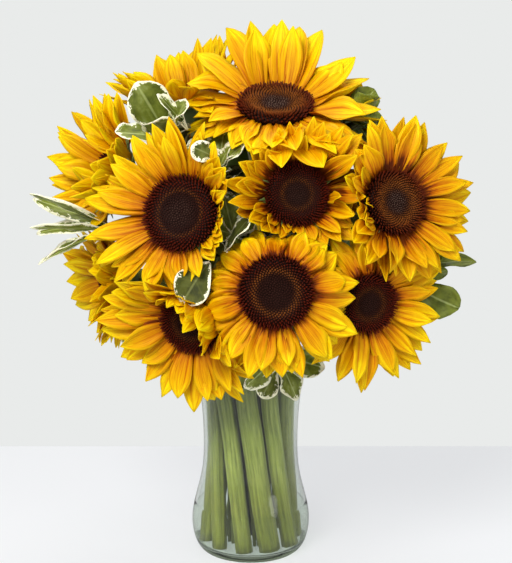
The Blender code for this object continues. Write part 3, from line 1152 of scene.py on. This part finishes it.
# ---- Stalks and twigs ---------------------------------------------------------------------------
@dataclass(frozen=True)
class Rod:
    """A ribbed round rod along a route."""

    route: list[Vector]
    radius: float
    segments: int = 36
    ribs: int = 9
    rib_depth: float = 0.035  # share of the radius
    step: float = 9 * MM
    taper: float = 0.0  # share of the radius lost by the end
    oval: float = 0.4  # how far out of round it is, as a share of the depth of its ribs
    wander: float = 0.02  # how much its thickness varies
    bark: float = 0.15  # share of the radius left round the pith of a cut end

    def build(self, tone: float, inner: float = 0.0) -> BMesh:
        """The closed rod, with its grain for the finish.

        Args:
            tone: A number that sets its streaks apart from those of others.
            inner: How far painted shade dims it, deep among the others.

        Returns:
            The shape.
        """
        shape = bmesh.new()
        grain = shape.verts.layers.float_vector.new("grain")
        layers = carry(shape, *ROD_VALUES)
        ring = bmesh.ops.create_circle(shape, segments=self.segments, radius=1)["verts"]
        for vert in ring:
            angle = math.atan2(vert.co.y, vert.co.x)
            wave = math.cos(self.ribs * angle) + self.oval * math.cos(2 * angle + tone * 9)
            vert.co *= 1 + self.rib_depth * wave
            vert[grain] = vert.co
            vert[layers["tone"]] = tone
            vert[layers["inner"]] = inner
            vert[layers["low"]] = 1.0
        stations = curve_through(self.route, self.step)
        places = []
        for k, place in enumerate(places_along(stations)):
            share = k / (len(stations) - 1)
            width = self.radius * (1 - self.taper * share)
            width *= 1 + self.wander * math.sin(share * 23 + tone * 40)
            places.append(place @ Matrix.Diagonal((width, width, 1, 1)))
        bmesh.ops.transform(shape, matrix=places[0], verts=ring)
        edges = start = list(shape.edges)
        run, rise = 0.0, max(station.z for station in stations)
        for k, (before, after) in enumerate(pairwise(places)):
            made = bmesh.ops.extrude_edge_only(shape, edges=edges)["geom"]
            ring = [item for item in made if isinstance(item, BMVert)]
            corners = set(ring)
            edges = [item for item in made if isinstance(item, BMEdge)]
            edges = [edge for edge in edges if corners.issuperset(edge.verts)]
            bmesh.ops.transform(shape, matrix=after @ before.inverted(), verts=ring)
            run += (stations[k + 1] - stations[k]).length
            height = stations[k + 1].z / rise
            for vert in ring:
                vert[grain] = (vert[grain].x, vert[grain].y, run * 10)
                # high and low steer the painted shade under the heads and low in the vase
                vert[layers["high"]] = smooth(0.4, 0.9, height)
                vert[layers["low"]] = 1 - smooth(0.1, 0.5, height)
        rim = self.radius * self.bark
        for end in (start, edges):
            cap = bmesh.ops.contextual_create(shape, geom=end)["faces"]
            bmesh.ops.inset_region(shape, faces=cap, thickness=rim, depth=0, use_even_offset=True)
            for vert in cap[0].verts:
                vert[layers["pith"]] = 1.0
        bmesh.ops.recalc_face_normals(shape, faces=shape.faces)
        return shape


# ---- Sunflowers ---------------------------------------------------------------------------------
@dataclass(frozen=True)
class Seedhead:
    """How far a seed disc has opened, and what colours that brings."""

    ring_at: float = 0.6  # share of the radius where the russet ring lies
    ring_width: float = 0.07
    ring: float = 0.7  # how strong it is
    ash: float = 0.3  # how grey the middle is
    size: float = 0.965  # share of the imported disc


CLOSED = Seedhead(0.62, 0.09, 0.7, 0.06)
DARK = Seedhead(0.55, 0.1, 0.3, 0.15)
OPEN = Seedhead(0.62, 0.2, 0.8, 0.75)

Compass = tuple[float, float, float, float, float, float, float, float]


@dataclass(frozen=True)
class Habit:
    """How a flower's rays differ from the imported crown, eighth by eighth of a turn round the head."""

    warmth: float = 0.0  # above 0 the rays are more orange, below 0 more lemon
    reach: Compass = (0.9,) * 8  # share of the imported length
    cups: Compass = (0,) * 8  # further forward, in degrees
    width: float = USUAL_WIDTH

    @staticmethod
    def between(values: Compass, around: float) -> float:
        """A value eased between those of the eight directions.

        Args:
            values: The values from the right over the top.
            around: The angle from the right towards the top.

        Returns:
            The value there.
        """
        place = (around / FULL_TURN * 8) % 8
        first = int(place)
        share = smooth(0, 1, place - first)
        return values[first % 8] * (1 - share) + values[(first + 1) % 8] * share

    def reach_at(self, around: float) -> float:
        """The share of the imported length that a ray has."""
        return self.between(self.reach, around)

    def cup_at(self, around: float) -> float:
        """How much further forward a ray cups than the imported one, in radians."""
        return math.radians(self.between(self.cups, around))


@dataclass(frozen=True)
class RayLayer:
    """One of the layers of rays on a head."""

    count: int
    offset: float  # share of a step by which it is turned
    lift: float
    cup: float
    reach: float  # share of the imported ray's length


RAY_LAYERS = (
    RayLayer(19, 0.0, -1.1 * MM, math.radians(-6), 1.0),
    RayLayer(18, 0.5, 0.0, math.radians(1), 0.97),
    RayLayer(13, 0.25, 0.9 * MM, math.radians(9), 0.82),
)

FLORET_BATCH = 60  # florets made at a time, because each operator walks the whole of its shape


@dataclass
class Sunflower:
    """One sunflower: ribbed stalk, green cup with bracts, three layers of rays and a disc of florets."""

    name: str
    seeds: Seedhead
    habit: Habit
    finishes: Finishes

    ray_width_least: float = 11 * MM
    ray_thickness: float = 0.35 * MM
    ray_seat: float = 1.6 * MM  # how far the rays reach in under the edge of the disc
    ray_crowding: float = 0.8  # how fully more rays make up for narrow ones
    ray_cramped: float = 0.7  # below this reach, some rays are missing
    wild_share: float = 0.16  # of the rays
    wild: float = 2.4  # how much more those curl and twist
    bracts: int = 13  # in each row
    bract_thickness: float = 0.5 * MM
    stem_sides: int = 10
    stem_rings: int = 9
    stem_ring: float = 20 * MM  # stalks that stand further out than this form the outer ring
    stem_spread: float = 6.6 * MM  # how far those lean out at the foot of the vase
    stem_waist: float = 95 * MM  # the height where that starts
    stem_swell: float = 0.2  # how much thicker the soft stalk is than its packed core, towards the middle
    stem_fit: float = 0.985  # of that, which leaves room for its ribs
    stem_end: float = 9 * MM  # how far behind the rays' ring it ends, inside the cup
    disc_heights: tuple = ((0.0, 5.2), (0.45, 5.9), (0.8, 7.6), (0.92, 6.6), (1.0, 3.6))  # share, mm
    cup_profile: tuple = ((0.3, -16.5), (0.55, -11.5), (0.8, -6.5), (0.91, -2.5), (0.88, 0.4))
    disc_inset: float = 1.2 * MM  # how far the disc's edge lies within the rays' ring
    disc_back: float = 0.3 * MM  # how far in front of the rays' ring its underside is
    disc_rings: int = 14
    floret_seat: float = 0.3 * MM  # how deep a floret stands in the disc
    florets: int = 640

    head: Head = field(init=False)
    crown: Crown = field(init=False)
    dice: random.Random = field(init=False)

    def __post_init__(self) -> None:
        """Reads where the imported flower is."""
        self.head = Head.of(self.name)
        self.crown = Crown.of(self.name, self.head)
        self.dice = random.Random(self.name)

    def build(self) -> None:
        """Builds every piece of the flower."""
        self.build_stalk()
        self.build_cup()
        self.build_rays()
        self.build_florets()

    def build_stalk(self) -> None:
        """The stalk, up into the green cup."""
        route, radius, _ = ring_middles(f"stem_{self.name}", self.stem_sides, self.stem_rings)
        outer = math.hypot(route[0].x, route[0].y) > self.stem_ring
        route[1:1] = [route[0].lerp(route[1], share / 5) for share in range(1, 5)]
        for point in route:
            outward = Vector((point.x, point.y, 0)).normalized()
            spread = self.stem_spread * max(1 - point.z / self.stem_waist, 0.0)
            swell = radius * self.stem_swell * (1 - smooth(0.1, 0.2, point.z))
            point += outward * (spread * outer - swell)
        route.append(self.head.centre - self.head.facing * self.stem_end)
        rod = Rod(route, radius * (1 + self.stem_swell) * self.stem_fit)
        # the stalks of the inner ring get painted shade
        shape = rod.build(self.dice.random(), 0.0 if outer else 1.0)
        add_piece(f"stalk_{self.name}", shape, self.finishes.stalk, Slot.STEM, f"stem_{self.name}")

    def build_cup(self) -> None:
        """The green cup behind the head, with two rows of pointed bracts round it."""
        radius = self.head.radius * self.seeds.size
        profile = [(0.0, -17 * MM), *((radius * r, z * MM) for r, z in self.cup_profile), (0.0, 0.4 * MM)]
        shape = spin_profile(profile, 32, self.head.matrix)
        carry(shape, "across", "along", "tone")
        dice = self.dice
        for row in range(2):
            for k in range(self.bracts):
                around = FULL_TURN * (k + row / 2 + dice.uniform(-0.15, 0.15)) / self.bracts
                length, cup = self.crown.at(around)
                length *= min(self.habit.reach_at(around), 1.0)
                cup = min(cup + self.habit.cup_at(around), math.radians(60))
                blade = Blade(
                    Outline.BRACT,
                    length=min(dice.uniform(19, 26) * MM, length * 0.55),
                    width=min(dice.uniform(8.5, 11) * MM, length * 0.35),
                    cup=max(cup - math.radians(18 + 9 * row), math.radians(-80)),
                    curl=dice.uniform(-0.9, 0.1),
                    fold=0.25,
                    pleat=0.12 * MM,
                    twist=dice.uniform(-0.3, 0.3),
                    sway=dice.uniform(-0.08, 0.08),
                    columns=4,
                    rows=7,
                )
                place = self.head.spoke_matrix(around, radius * (0.9 - 0.08 * row), (-2.2 - 2.2 * row) * MM)
                blade.add_to(shape, place, {"tone": dice.random()})
        piece = add_piece(f"cup_{self.name}", shape, self.finishes.bract, Slot.STEM, f"stem_{self.name}")
        thicken(piece, self.bract_thickness)

    def build_rays(self) -> None:
        """All the layers of rays, each ray a little different."""
        shape = new_blades("tone", "warmth")
        dice = self.dice
        root = self.head.radius * self.seeds.size - self.ray_seat
        for layer in RAY_LAYERS:
            count = round(layer.count * (USUAL_WIDTH / self.habit.width) ** self.ray_crowding)
            for k in range(count):
                around = FULL_TURN * (k + layer.offset + dice.uniform(-0.18, 0.18)) / count
                length, cup = self.crown.at(around)
                width = max(length * self.habit.width, self.ray_width_least) * dice.uniform(0.8, 1.2)
                reach = self.habit.reach_at(around)
                if dice.random() < self.ray_cramped - reach:
                    continue
                length *= layer.reach * dice.uniform(0.86, 1.05) * reach
                wild = self.wild if dice.random() < self.wild_share else 1
                blade = Blade(
                    Outline.RAY,
                    length=length,
                    width=min(width, length * 0.62),
                    cup=cup + layer.cup + self.habit.cup_at(around) + math.radians(dice.uniform(-7, 7)),
                    curl=dice.uniform(-0.55, 0.4) * wild,
                    fold=dice.uniform(0.05, 0.5),
                    pleat=0.6 * MM,
                    twist=dice.uniform(-0.4, 0.4) * wild,
                    sway=dice.uniform(-0.13, 0.13),
                    ripple=dice.uniform(0.08, 0.28),
                    waves=dice.uniform(0.8, 2.0),
                    phase=dice.uniform(0, FULL_TURN),
                )
                place = self.head.spoke_matrix(around, root, layer.lift)
                blade.add_to(shape, place, {"tone": dice.random(), "warmth": self.habit.warmth})
        piece = add_piece(f"rays_{self.name}", shape, self.finishes.ray, Slot.PETAL, f"petals_{self.name}")
        thicken(piece, self.ray_thickness)

    def disc_height(self, share: float) -> float:
        """How far the disc stands in front of the rays' ring at a share of its radius."""
        shares, heights = zip(*self.disc_heights)
        return float(np.interp(share, shares, heights)) * MM

    def build_florets(self) -> None:
        """The dark disc, its florets in spirals: tight ones inside, long ones that lean out at the edge."""
        radius = self.head.radius * self.seeds.size - self.disc_inset
        shares = [k / self.disc_rings for k in range(self.disc_rings + 1)]
        profile = [(radius * share, self.disc_height(share)) for share in shares]
        profile += [(radius * 0.97, self.disc_back), (0.0, self.disc_back)]
        shape = spin_profile(profile, 40, self.head.matrix)
        carry(shape, *FLORET_VALUES)
        for first in range(0, self.florets, FLORET_BATCH):
            batch = bmesh.new()
            layers = carry(batch, *FLORET_VALUES)
            for k in range(first, min(first + FLORET_BATCH, self.florets)):
                share = math.sqrt((k + 0.5) / self.florets)
                self.add_floret(batch, layers, radius, share, k * GOLDEN_ANGLE)
            held = bpy.data.meshes.new("batch")
            batch.to_mesh(held)
            batch.free()
            shape.from_mesh(held)
            bpy.data.meshes.remove(held)
        add_piece(f"florets_{self.name}", shape, self.finishes.floret, Slot.DISC, f"disc_{self.name}")

    def add_floret(
        self, shape: BMesh, layers: dict[str, BMLayerItem], radius: float, share: float, around: float
    ) -> None:
        """One floret, a small pointed cone.

        Args:
            shape: The disc that it joins.
            layers: What its corners tell the finish.
            radius: The disc's radius.
            share: Where it is, as a share of that.
            around: Where it is round the disc.
        """
        dice, seeds = self.dice, self.seeds
        outer = smooth(0.62, 0.95, share)
        tall = (1.5 + 2.6 * outer + dice.uniform(-0.3, 0.5 + 0.6 * outer)) * MM
        lean = math.radians(2 + 46 * smooth(0.7, 1.0, share) + dice.uniform(-7, 7))
        out = radius * share
        place = (
            self.head.matrix
            @ Matrix.Rotation(around, 4, "Z")
            @ Matrix.Translation((out, 0, self.disc_height(share) - self.floret_seat))
            @ Matrix.Rotation(lean, 4, "Y")
            @ Matrix.Rotation(dice.uniform(-0.15, 0.15), 4, "X")
            @ Matrix.Translation((0, 0, tall / 2))
        )
        wide = radius / math.sqrt(self.florets) * dice.uniform(0.8, 0.98)
        made = bmesh.ops.create_cone(
            shape,
            cap_ends=True,
            segments=5,
            radius1=wide,
            radius2=wide * (0.5 - 0.15 * outer),
            depth=tall,
            matrix=place,
        )["verts"]
        base = place.to_translation()
        values = {
            "ring": seeds.ring * math.exp(-(((share - seeds.ring_at) / seeds.ring_width) ** 2)),
            "ash": seeds.ash * (1 - smooth(0.2, 0.5, share)),
            "fringe": smooth(0.5, 0.8, share),
            "tone": dice.random(),
        }
        for vert in made:
            for name, value in values.items():
                vert[layers[name]] = value
            vert[layers["height"]] = 1.0 if (vert.co - base).dot(place.col[2].to_3d()) > 0 else 0.0


# ---- Pittosporum sprigs -------------------------------------------------------------------------
@dataclass(frozen=True)
class Foliage:
    """How a sprig's leaves differ from those of the others."""

    width: float = 0.6  # share of the length
    plain: float = 0.0  # 1 where the leaves have no cream margin
    reach: float = 1.0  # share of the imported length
    # painted shade on the near leaves
    dim: float = 0.4  # how dim the near leaves are
    missing: tuple[int, ...] = ()  # packed leaves that are left out, counted from the longest
    near: tuple = ()  # large extra leaves: each one's root and tip in mm, the way it faces, and its width


@dataclass
class Sprig:
    """One sprig: a woody twig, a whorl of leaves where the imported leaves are, and small ones below."""

    name: str
    finishes: Finishes
    foliage: Foliage = Foliage()
    # the leaves below the whorl get painted shade
    inner_leaves: int = 9  # dimmer ones below the whorl
    inner_step: int = 4  # mm between those along the twig

    sides: int = 6
    rings: int = 7
    leaf_thickness: float = 0.4 * MM
    leaf_stalk: float = 0.08  # width of a near leaf's stalk, as a share of its length
    tip_reach: float = 4.8 * MM  # corners this near to each other belong to one leaf's tip
    tip_corners: int = 3  # the least that make a tip
    tip_apart: float = math.radians(14)  # the least angle between two leaves
    leaf_least: float = 14 * MM

    route: list = field(init=False)
    radius: float = field(init=False)
    whorl: Vector = field(init=False)
    heading: Vector = field(init=False)
    tips: list = field(init=False)
    dice: random.Random = field(init=False)

    def __post_init__(self) -> None:
        """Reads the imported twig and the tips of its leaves."""
        self.dice = random.Random(self.name)
        self.route, self.radius, left = ring_middles(f"sprig_{self.name}", self.sides, self.rings)
        self.heading = (self.route[-1] - self.route[-2]).normalized()
        near = sorted(left, key=lambda point: (point - self.route[-1]).length)[: self.sides]
        self.whorl = middle_of(near) - self.heading * MM
        self.tips = self.find_tips(left)

    def find_tips(self, corners: list[Vector]) -> list[Vector]:
        """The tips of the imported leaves: tight groups of corners, each the farthest one from the whorl.

        Args:
            corners: The node's corners past its twig.

        Returns:
            One point for each leaf.
        """
        groups: list[list[Vector]] = []
        for corner in corners:
            home = next((g for g in groups if (g[0] - corner).length < self.tip_reach), None)
            if home is None:
                groups.append([corner])
            else:
                home.append(corner)
        ends = [middle_of(group) for group in groups if len(group) >= self.tip_corners]
        ends = [end for end in ends if (end - self.whorl).length > self.leaf_least]
        ends.sort(key=lambda end: -(end - self.whorl).length)
        tips: list[Vector] = []
        for end in ends:
            arm = end - self.whorl
            if all(arm.angle(tip - self.whorl) > self.tip_apart for tip in tips):
                tips.append(end)
        return tips

    def build(self) -> None:
        """Builds both pieces of the sprig."""
        route = [*self.route, self.whorl]
        twig = Rod(route, self.radius, segments=12, ribs=3, rib_depth=0.05, step=10 * MM, taper=0.3)
        node = f"sprig_{self.name}"
        add_piece(f"twig_{self.name}", twig.build(0.5), self.finishes.twig, Slot.LEAF, node)
        self.build_leaves(node)

    def build_leaves(self, node: str) -> None:
        """The leaves, their upper sides towards the sprig's end.

        Args:
            node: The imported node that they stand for.
        """
        shape = new_blades("tone", "margin", "plain", "inner")
        dice, heading, whorl = self.dice, self.heading, self.whorl
        for k, tip in enumerate(self.tips):
            if k not in self.foliage.missing:
                self.add_leaf(shape, whorl, (tip - whorl) * self.foliage.reach, heading, 0.0)
        for root, tip, facing, width in self.foliage.near:
            root, tip = Vector(root) * MM, Vector(tip) * MM
            # near leaves and their stalks get painted shade
            self.add_leaf(shape, root, tip - root, Vector(facing), self.foliage.dim, width)
            self.add_leaf(shape, whorl, root - whorl, heading, 0.5, self.leaf_stalk)
        for k in range(self.inner_leaves):
            root = whorl - heading * self.inner_step * (k + 1) * MM
            around = Matrix.Rotation(k * GOLDEN_ANGLE + dice.random(), 3, heading)
            spread = Matrix.Rotation(math.radians(dice.uniform(40, 75)), 3, heading.orthogonal())
            arm = around @ spread @ heading * dice.uniform(22, 34) * MM
            self.add_leaf(shape, root, arm, heading, min(0.5 + 0.15 * k, 1.0))
        piece = add_piece(f"leaves_{self.name}", shape, self.finishes.leaf, Slot.LEAF, node)
        thicken(piece, self.leaf_thickness)

    def add_leaf(
        self, shape: BMesh, root: Vector, arm: Vector, heading: Vector, inner: float, width: float = 0.0
    ) -> None:
        """One leaf.

        Args:
            shape: The shape that it joins.
            root: Where it leaves the twig.
            arm: From there to its tip.
            heading: The way the twig points.
            inner: How far painted shade dims it, deep in the bunch.
            width: Its width as a share of its length; 0 for that of the sprig's other leaves.
        """
        dice, length = self.dice, arm.length
        out = arm.normalized()
        upper = (heading - out * heading.dot(out)).normalized()
        side = out.cross(upper)
        place = Matrix.Translation(root) @ Matrix((side, out, upper)).transposed().to_4x4()
        blade = Blade(
            Outline.LEAF,
            length=length * 1.02,
            width=length * (width or self.foliage.width) * dice.uniform(0.9, 1.15),
            curl=dice.uniform(-0.7, -0.1),
            fold=dice.uniform(0.1, 0.4),
            twist=dice.uniform(-0.5, 0.5),
            sway=dice.uniform(-0.08, 0.08),
            ripple=dice.uniform(0.15, 0.32),
            waves=dice.uniform(1.6, 2.6),
            phase=dice.uniform(0, FULL_TURN),
            columns=8,
            rows=12,
            tip=0.7 * MM,
        )
        blade.add_to(shape, place, {"tone": dice.random(), "plain": self.foliage.plain, "inner": inner})


# ---- Vase and water -----------------------------------------------------------------------------
@dataclass
class Vase:
    """The waisted vase of clear glass, and the water in it."""

    finishes: Finishes
    segments: int = 112
    step: float = 2.5 * MM
    overlap: float = 0.12 * MM  # how far the water reaches into the glass
    wet_edge: float = 1.5 * MM  # below the level, where the water leaves the profile of the glass
    meniscus: tuple = ((0.0, 0.9), (1.2, 0.3), (4.0, 0.0))  # in from the glass and above the level, mm
    same: float = 0.001 * MM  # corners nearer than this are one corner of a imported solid

    profile: list = field(init=False)

    def __post_init__(self) -> None:
        """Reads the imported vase's profile."""
        self.profile = self.read_profile("glass_vase")

    def read_profile(self, node: str) -> list[Vector]:
        """The profile of a turned node, along the edges on its +X side.

        Args:
            node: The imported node.

        Returns:
            Its points from the inner floor over the lip to the foot, with Y zero.
        """
        shape = bmesh.new()
        shape.from_mesh(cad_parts[node].data)
        bmesh.ops.remove_doubles(shape, verts=shape.verts, dist=self.same)
        side = {vert for vert in shape.verts if abs(vert.co.y) < self.same and vert.co.x > 0}
        chain = [min(side, key=lambda vert: vert.co.z)]
        while True:
            side.discard(chain[-1])
            onward = side.intersection(edge.other_vert(chain[-1]) for edge in chain[-1].link_edges)
            if not onward:
                break
            chain.append(min(onward, key=lambda vert: (vert.co - chain[-1].co).length))
        points = [Vector((vert.co.x, 0, vert.co.z)) for vert in reversed(chain)]
        shape.free()
        return [Vector((0, 0, points[0].z)), *points, Vector((0, 0, points[-1].z))]

    def build(self) -> None:
        """Builds the glass and the water."""
        stations = curve_through(self.profile, self.step)
        profile = [(max(point.x, 0.0), max(point.z, 0.0)) for point in stations]
        profile[0], profile[-1] = (0.0, profile[0][1]), (0.0, 0.0)
        shape = spin_profile(profile, self.segments, Matrix.Identity(4))
        add_piece("vase", shape, self.finishes.glass, Slot.GLASS, "glass_vase")
        self.build_water(profile)

    def build_water(self, profile: list[tuple[float, float]]) -> None:
        """The water, which fills the vase up to its packed height.

        Args:
            profile: The vase's smooth profile.
        """
        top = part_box("water")[1].z
        lip = max(range(len(profile)), key=lambda k: profile[k][1])
        wall = [(radius, height) for radius, height in profile[:lip] if height < top - self.wet_edge]
        edge = wall[-1][0] + self.overlap
        water_and_low_shade = [(0.0, wall[0][1] - self.overlap)]
        water_and_low_shade += [(radius + self.overlap, height - self.overlap) for radius, height in wall[1:]]
        water_and_low_shade += [(edge - back * MM, top + rise * MM) for back, rise in self.meniscus]
        shape = spin_profile([*water_and_low_shade, (0.0, top)], self.segments, Matrix.Identity(4))
        add_piece("vase_water", shape, self.finishes.water, Slot.WATER, "water")


# ---- Studio -------------------------------------------------------------------------------------
@dataclass(frozen=True)
class SoftLight:
    """A large soft lamp that faces a point."""

    name: str
    place: tuple[float, float, float]
    size: float
    power: float
    colour: tuple[float, float, float] = (1, 1, 1)


@dataclass(frozen=True)
class Studio:
    """The table, the soft lamps, the pale surroundings and the camera."""

    target: tuple[float, float, float] = (0.0048, 0.0, 0.246)
    distance: float = 1.7
    pitch: float = 15.0  # degrees that the camera looks down
    lens: float = 124.95
    table_size: tuple[float, float, float] = (4.0, 2.6, 0.04)
    table_back: float = 0.264
    surroundings: tuple = srgb(233, 235, 234)
    ambient: float = 0.45  # share of the surroundings' brightness that lights the bunch
    lights: tuple = (
        SoftLight("key", (-0.5, -1.15, 1.3), 0.85, 26, (1.0, 0.985, 0.95)),
        SoftLight("fill", (1.15, -0.95, 0.6), 1.0, 5),
        SoftLight("over", (0.1, 0.5, 1.6), 0.9, 7),
    )

    def build(self) -> None:
        """Sets the stage."""
        self.build_table()
        self.build_lights()
        self.build_camera()
        self.build_surroundings()
        bpy.context.scene.view_settings.view_transform = "Standard"

    def build_surroundings(self) -> None:
        """Pale walls all round, which look brighter than the light that they give."""
        world = bpy.data.worlds.new("surroundings")
        world.use_nodes = True
        box = NodeBox(world.node_tree)
        path = box.add("ShaderNodeLightPath")
        direct = box.wire(path, "Is Camera Ray")
        seen = direct.math("MAXIMUM", direct, box.wire(path, "Is Transmission Ray"))
        sockets = {"Value": seen, "To Min": self.ambient, "To Max": 1.0}
        strength = box.wire(box.add("ShaderNodeMapRange", None, sockets))
        sockets = {"Color": self.surroundings, "Strength": strength}
        walls = box.add("ShaderNodeBackground", None, sockets)
        box.add("ShaderNodeOutputWorld", None, {"Surface": walls.outputs[0]})
        bpy.context.scene.world = world

    def build_table(self) -> None:
        """The plain pale floor, a broad slab whose back edge shows behind the vase."""
        shape = bmesh.new()
        _, depth, thickness = self.table_size
        bmesh.ops.create_cube(shape, size=1)
        bmesh.ops.scale(shape, vec=self.table_size, verts=shape.verts)
        centre = (0, self.table_back - depth / 2, -thickness / 2)
        bmesh.ops.translate(shape, vec=centre, verts=shape.verts)
        bmesh.ops.bevel(
            shape,
            geom=shape.edges,
            offset=3 * MM,
            offset_type="OFFSET",
            affect="EDGES",
            segments=3,
            profile=0.5,
            material=-1,
        )
        table = add_object("table", to_mesh("table", shape, TableFinish().build()))

    def build_lights(self) -> None:
        """The soft lamps, each turned to the middle of the bunch."""
        for light in self.lights:
            data = bpy.data.lights.new(light.name, "AREA")
            data.shape = "DISK"
            data.size = light.size
            data.energy = light.power
            data.color = light.colour
            lamp = add_object(light.name, data)
            lamp.location = light.place
            beam = Vector(self.target) - Vector(light.place)
            lamp.rotation_euler = beam.to_track_quat("-Z", "Y").to_euler()

    def build_camera(self) -> None:
        """The camera, straight in front and looking a little down."""
        pitch = math.radians(self.pitch)
        data = bpy.data.cameras.new("camera")
        data.lens = self.lens
        camera = add_object("camera", data)
        offset = Vector((0, -math.cos(pitch), math.sin(pitch))) * self.distance
        camera.location = Vector(self.target) + offset
        camera.rotation_euler = (math.pi / 2 - pitch, 0, 0)
        bpy.context.scene.camera = camera


# ---- The whole bunch ----------------------------------------------------------------------------
LEFT_SEEDS = Seedhead(0.62, 0.05, 0.45, 0.25, 0.93)
MIDDLE_SEEDS = Seedhead(0.5, 0.08, 0.45, 0.2)

# The eight numbers of a reach and of a cup go from the head's right over its top.
SUNFLOWERS = {
    "front": (CLOSED, Habit(0.18, (0.78, 0.6, 0.62, 0.66, 0.68, 0.9, 0.78, 0.92))),
    "left": (LEFT_SEEDS, Habit(0.12, (0.4, 0.6, 1.02, 0.97, 1.14, 1.08, 0.66, 0.4), width=0.28)),
    "right": (OPEN, Habit(0.45, (1.06, 1.03, 1.04, 0.78, 0.4, 0.8, 0.78, 1.03))),
    "middle": (
        MIDDLE_SEEDS,
        Habit(0.6, (1.0, 1.25, 0.95, 0.85, 1.2, 0.65, 0.4, 0.8), (0, -15, -25, -15, 0, 0, 0, 0)),
    ),
    "top": (
        OPEN,
        Habit(-0.15, (1.05, 1.12, 1.2, 1.1, 0.92, 0.5, 0.74, 1.0), (-3, 0, 0, 0, 3, 5, -34, -26), 0.42),
    ),
    "lower_right": (DARK, Habit(0.2, (0.93, 0.88, 0.8, 0.8, 0.6, 0.9, 1.08, 1.02))),
    "lower_left": (
        DARK,
        Habit(0.2, (1.0, 1.0, 0.85, 1.0, 1.06, 0.88, 1.02, 0.97), (98, 112, 118, 30, 0, 0, 0, 15)),
    ),
    "far_left": (
        DARK,
        Habit(-0.12, (1.0, 0.85, 0.95, 1.08, 1.12, 1.0, 0.5, 0.9), (80, 66, 18, 0, 0, 0, 30, 70)),
    ),
    "upper_left": (
        OPEN,
        Habit(-0.12, (0.9, 0.95, 1.05, 1.08, 1.1, 1.05, 0.98, 0.92), (0, 0, 0, 0, 0, 10, 18, 12)),
    ),
    "low_left": (
        CLOSED,
        Habit(-0.02, (1.0, 0.8, 0.6, 0.85, 1.12, 1.06, 0.75, 0.95), (80, 62, 20, 0, 0, 0, 5, 70)),
    ),
    "back_right": (DARK, Habit(0.05, (0.9, 0.85, 0.65, 0.55, 0.55, 0.65, 0.8, 0.9))),
    "back": (CLOSED, Habit(0.0)),
    "low_back": (OPEN, Habit(0.1)),
}

FOLIAGE = {
    "shoulder": Foliage(
        0.55,
        dim=0.3,
        missing=(1, 2),
        near=(
            ((-71, -38, 385), (-93, -50, 428), (-0.2, -1, 0.6), 0.68),
            ((-52, -44, 388), (-75, -52, 420), (0.6, -1, 0.5), 0.36),
        ),
    ),
    "crown_gap": Foliage(0.7, dim=0.6, near=(((-28, -90, 374), (-47, -98, 385), (-0.2, -1, 0.4), 0.75),)),
    "left_gap": Foliage(0.7, dim=0.78, near=(((-33, -100, 289), (-57, -114, 260), (-0.4, -1, 0.2), 0.7),)),
    "front_gap": Foliage(dim=0.8, near=(((-21, -97, 297), (0, -92, 326), (-0.64, -0.25, 0.6), 0.5),)),
    "lip_right": Foliage(near=(((22, -62, 186), (9, -66, 162), (0, -1, 0.1), 0.75),)),
    "side": Foliage(0.2, reach=1.3),
    "right_side": Foliage(
        0.5,
        plain=1.0,
        dim=0.1,
        missing=(0, 2, 3, 4),
        near=(
            ((139, -38, 252), (176, -42, 232), (0.1, -1, 0.1), 0.68),
            ((142, -38, 268), (191, -26, 273), (0.1, -0.6, 0.8), 0.3),
            ((140, -40, 262), (168, -30, 262), (0.2, -1, 0.6), 0.5),
        ),
    ),
    "top_right": Foliage(plain=1.0),
}


def sprig_names() -> list[str]:
    """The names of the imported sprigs."""
    return sorted(node.removeprefix("sprig_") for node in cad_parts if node.startswith("sprig_"))


def main() -> None:
    """Builds the studio, the vase and the bunch."""
    finishes = Finishes()
    Studio().build()
    Vase(finishes).build()
    for name, (seeds, habit) in SUNFLOWERS.items():
        Sunflower(name, seeds, habit, finishes).build()
    for name in sprig_names():
        sprig = Sprig(name, finishes, FOLIAGE.get(name, Foliage()))
        log.info("sprig %s has %d leaves at its tip", name, len(sprig.tips))
        sprig.build()


if __name__ == "__main__":
    main()
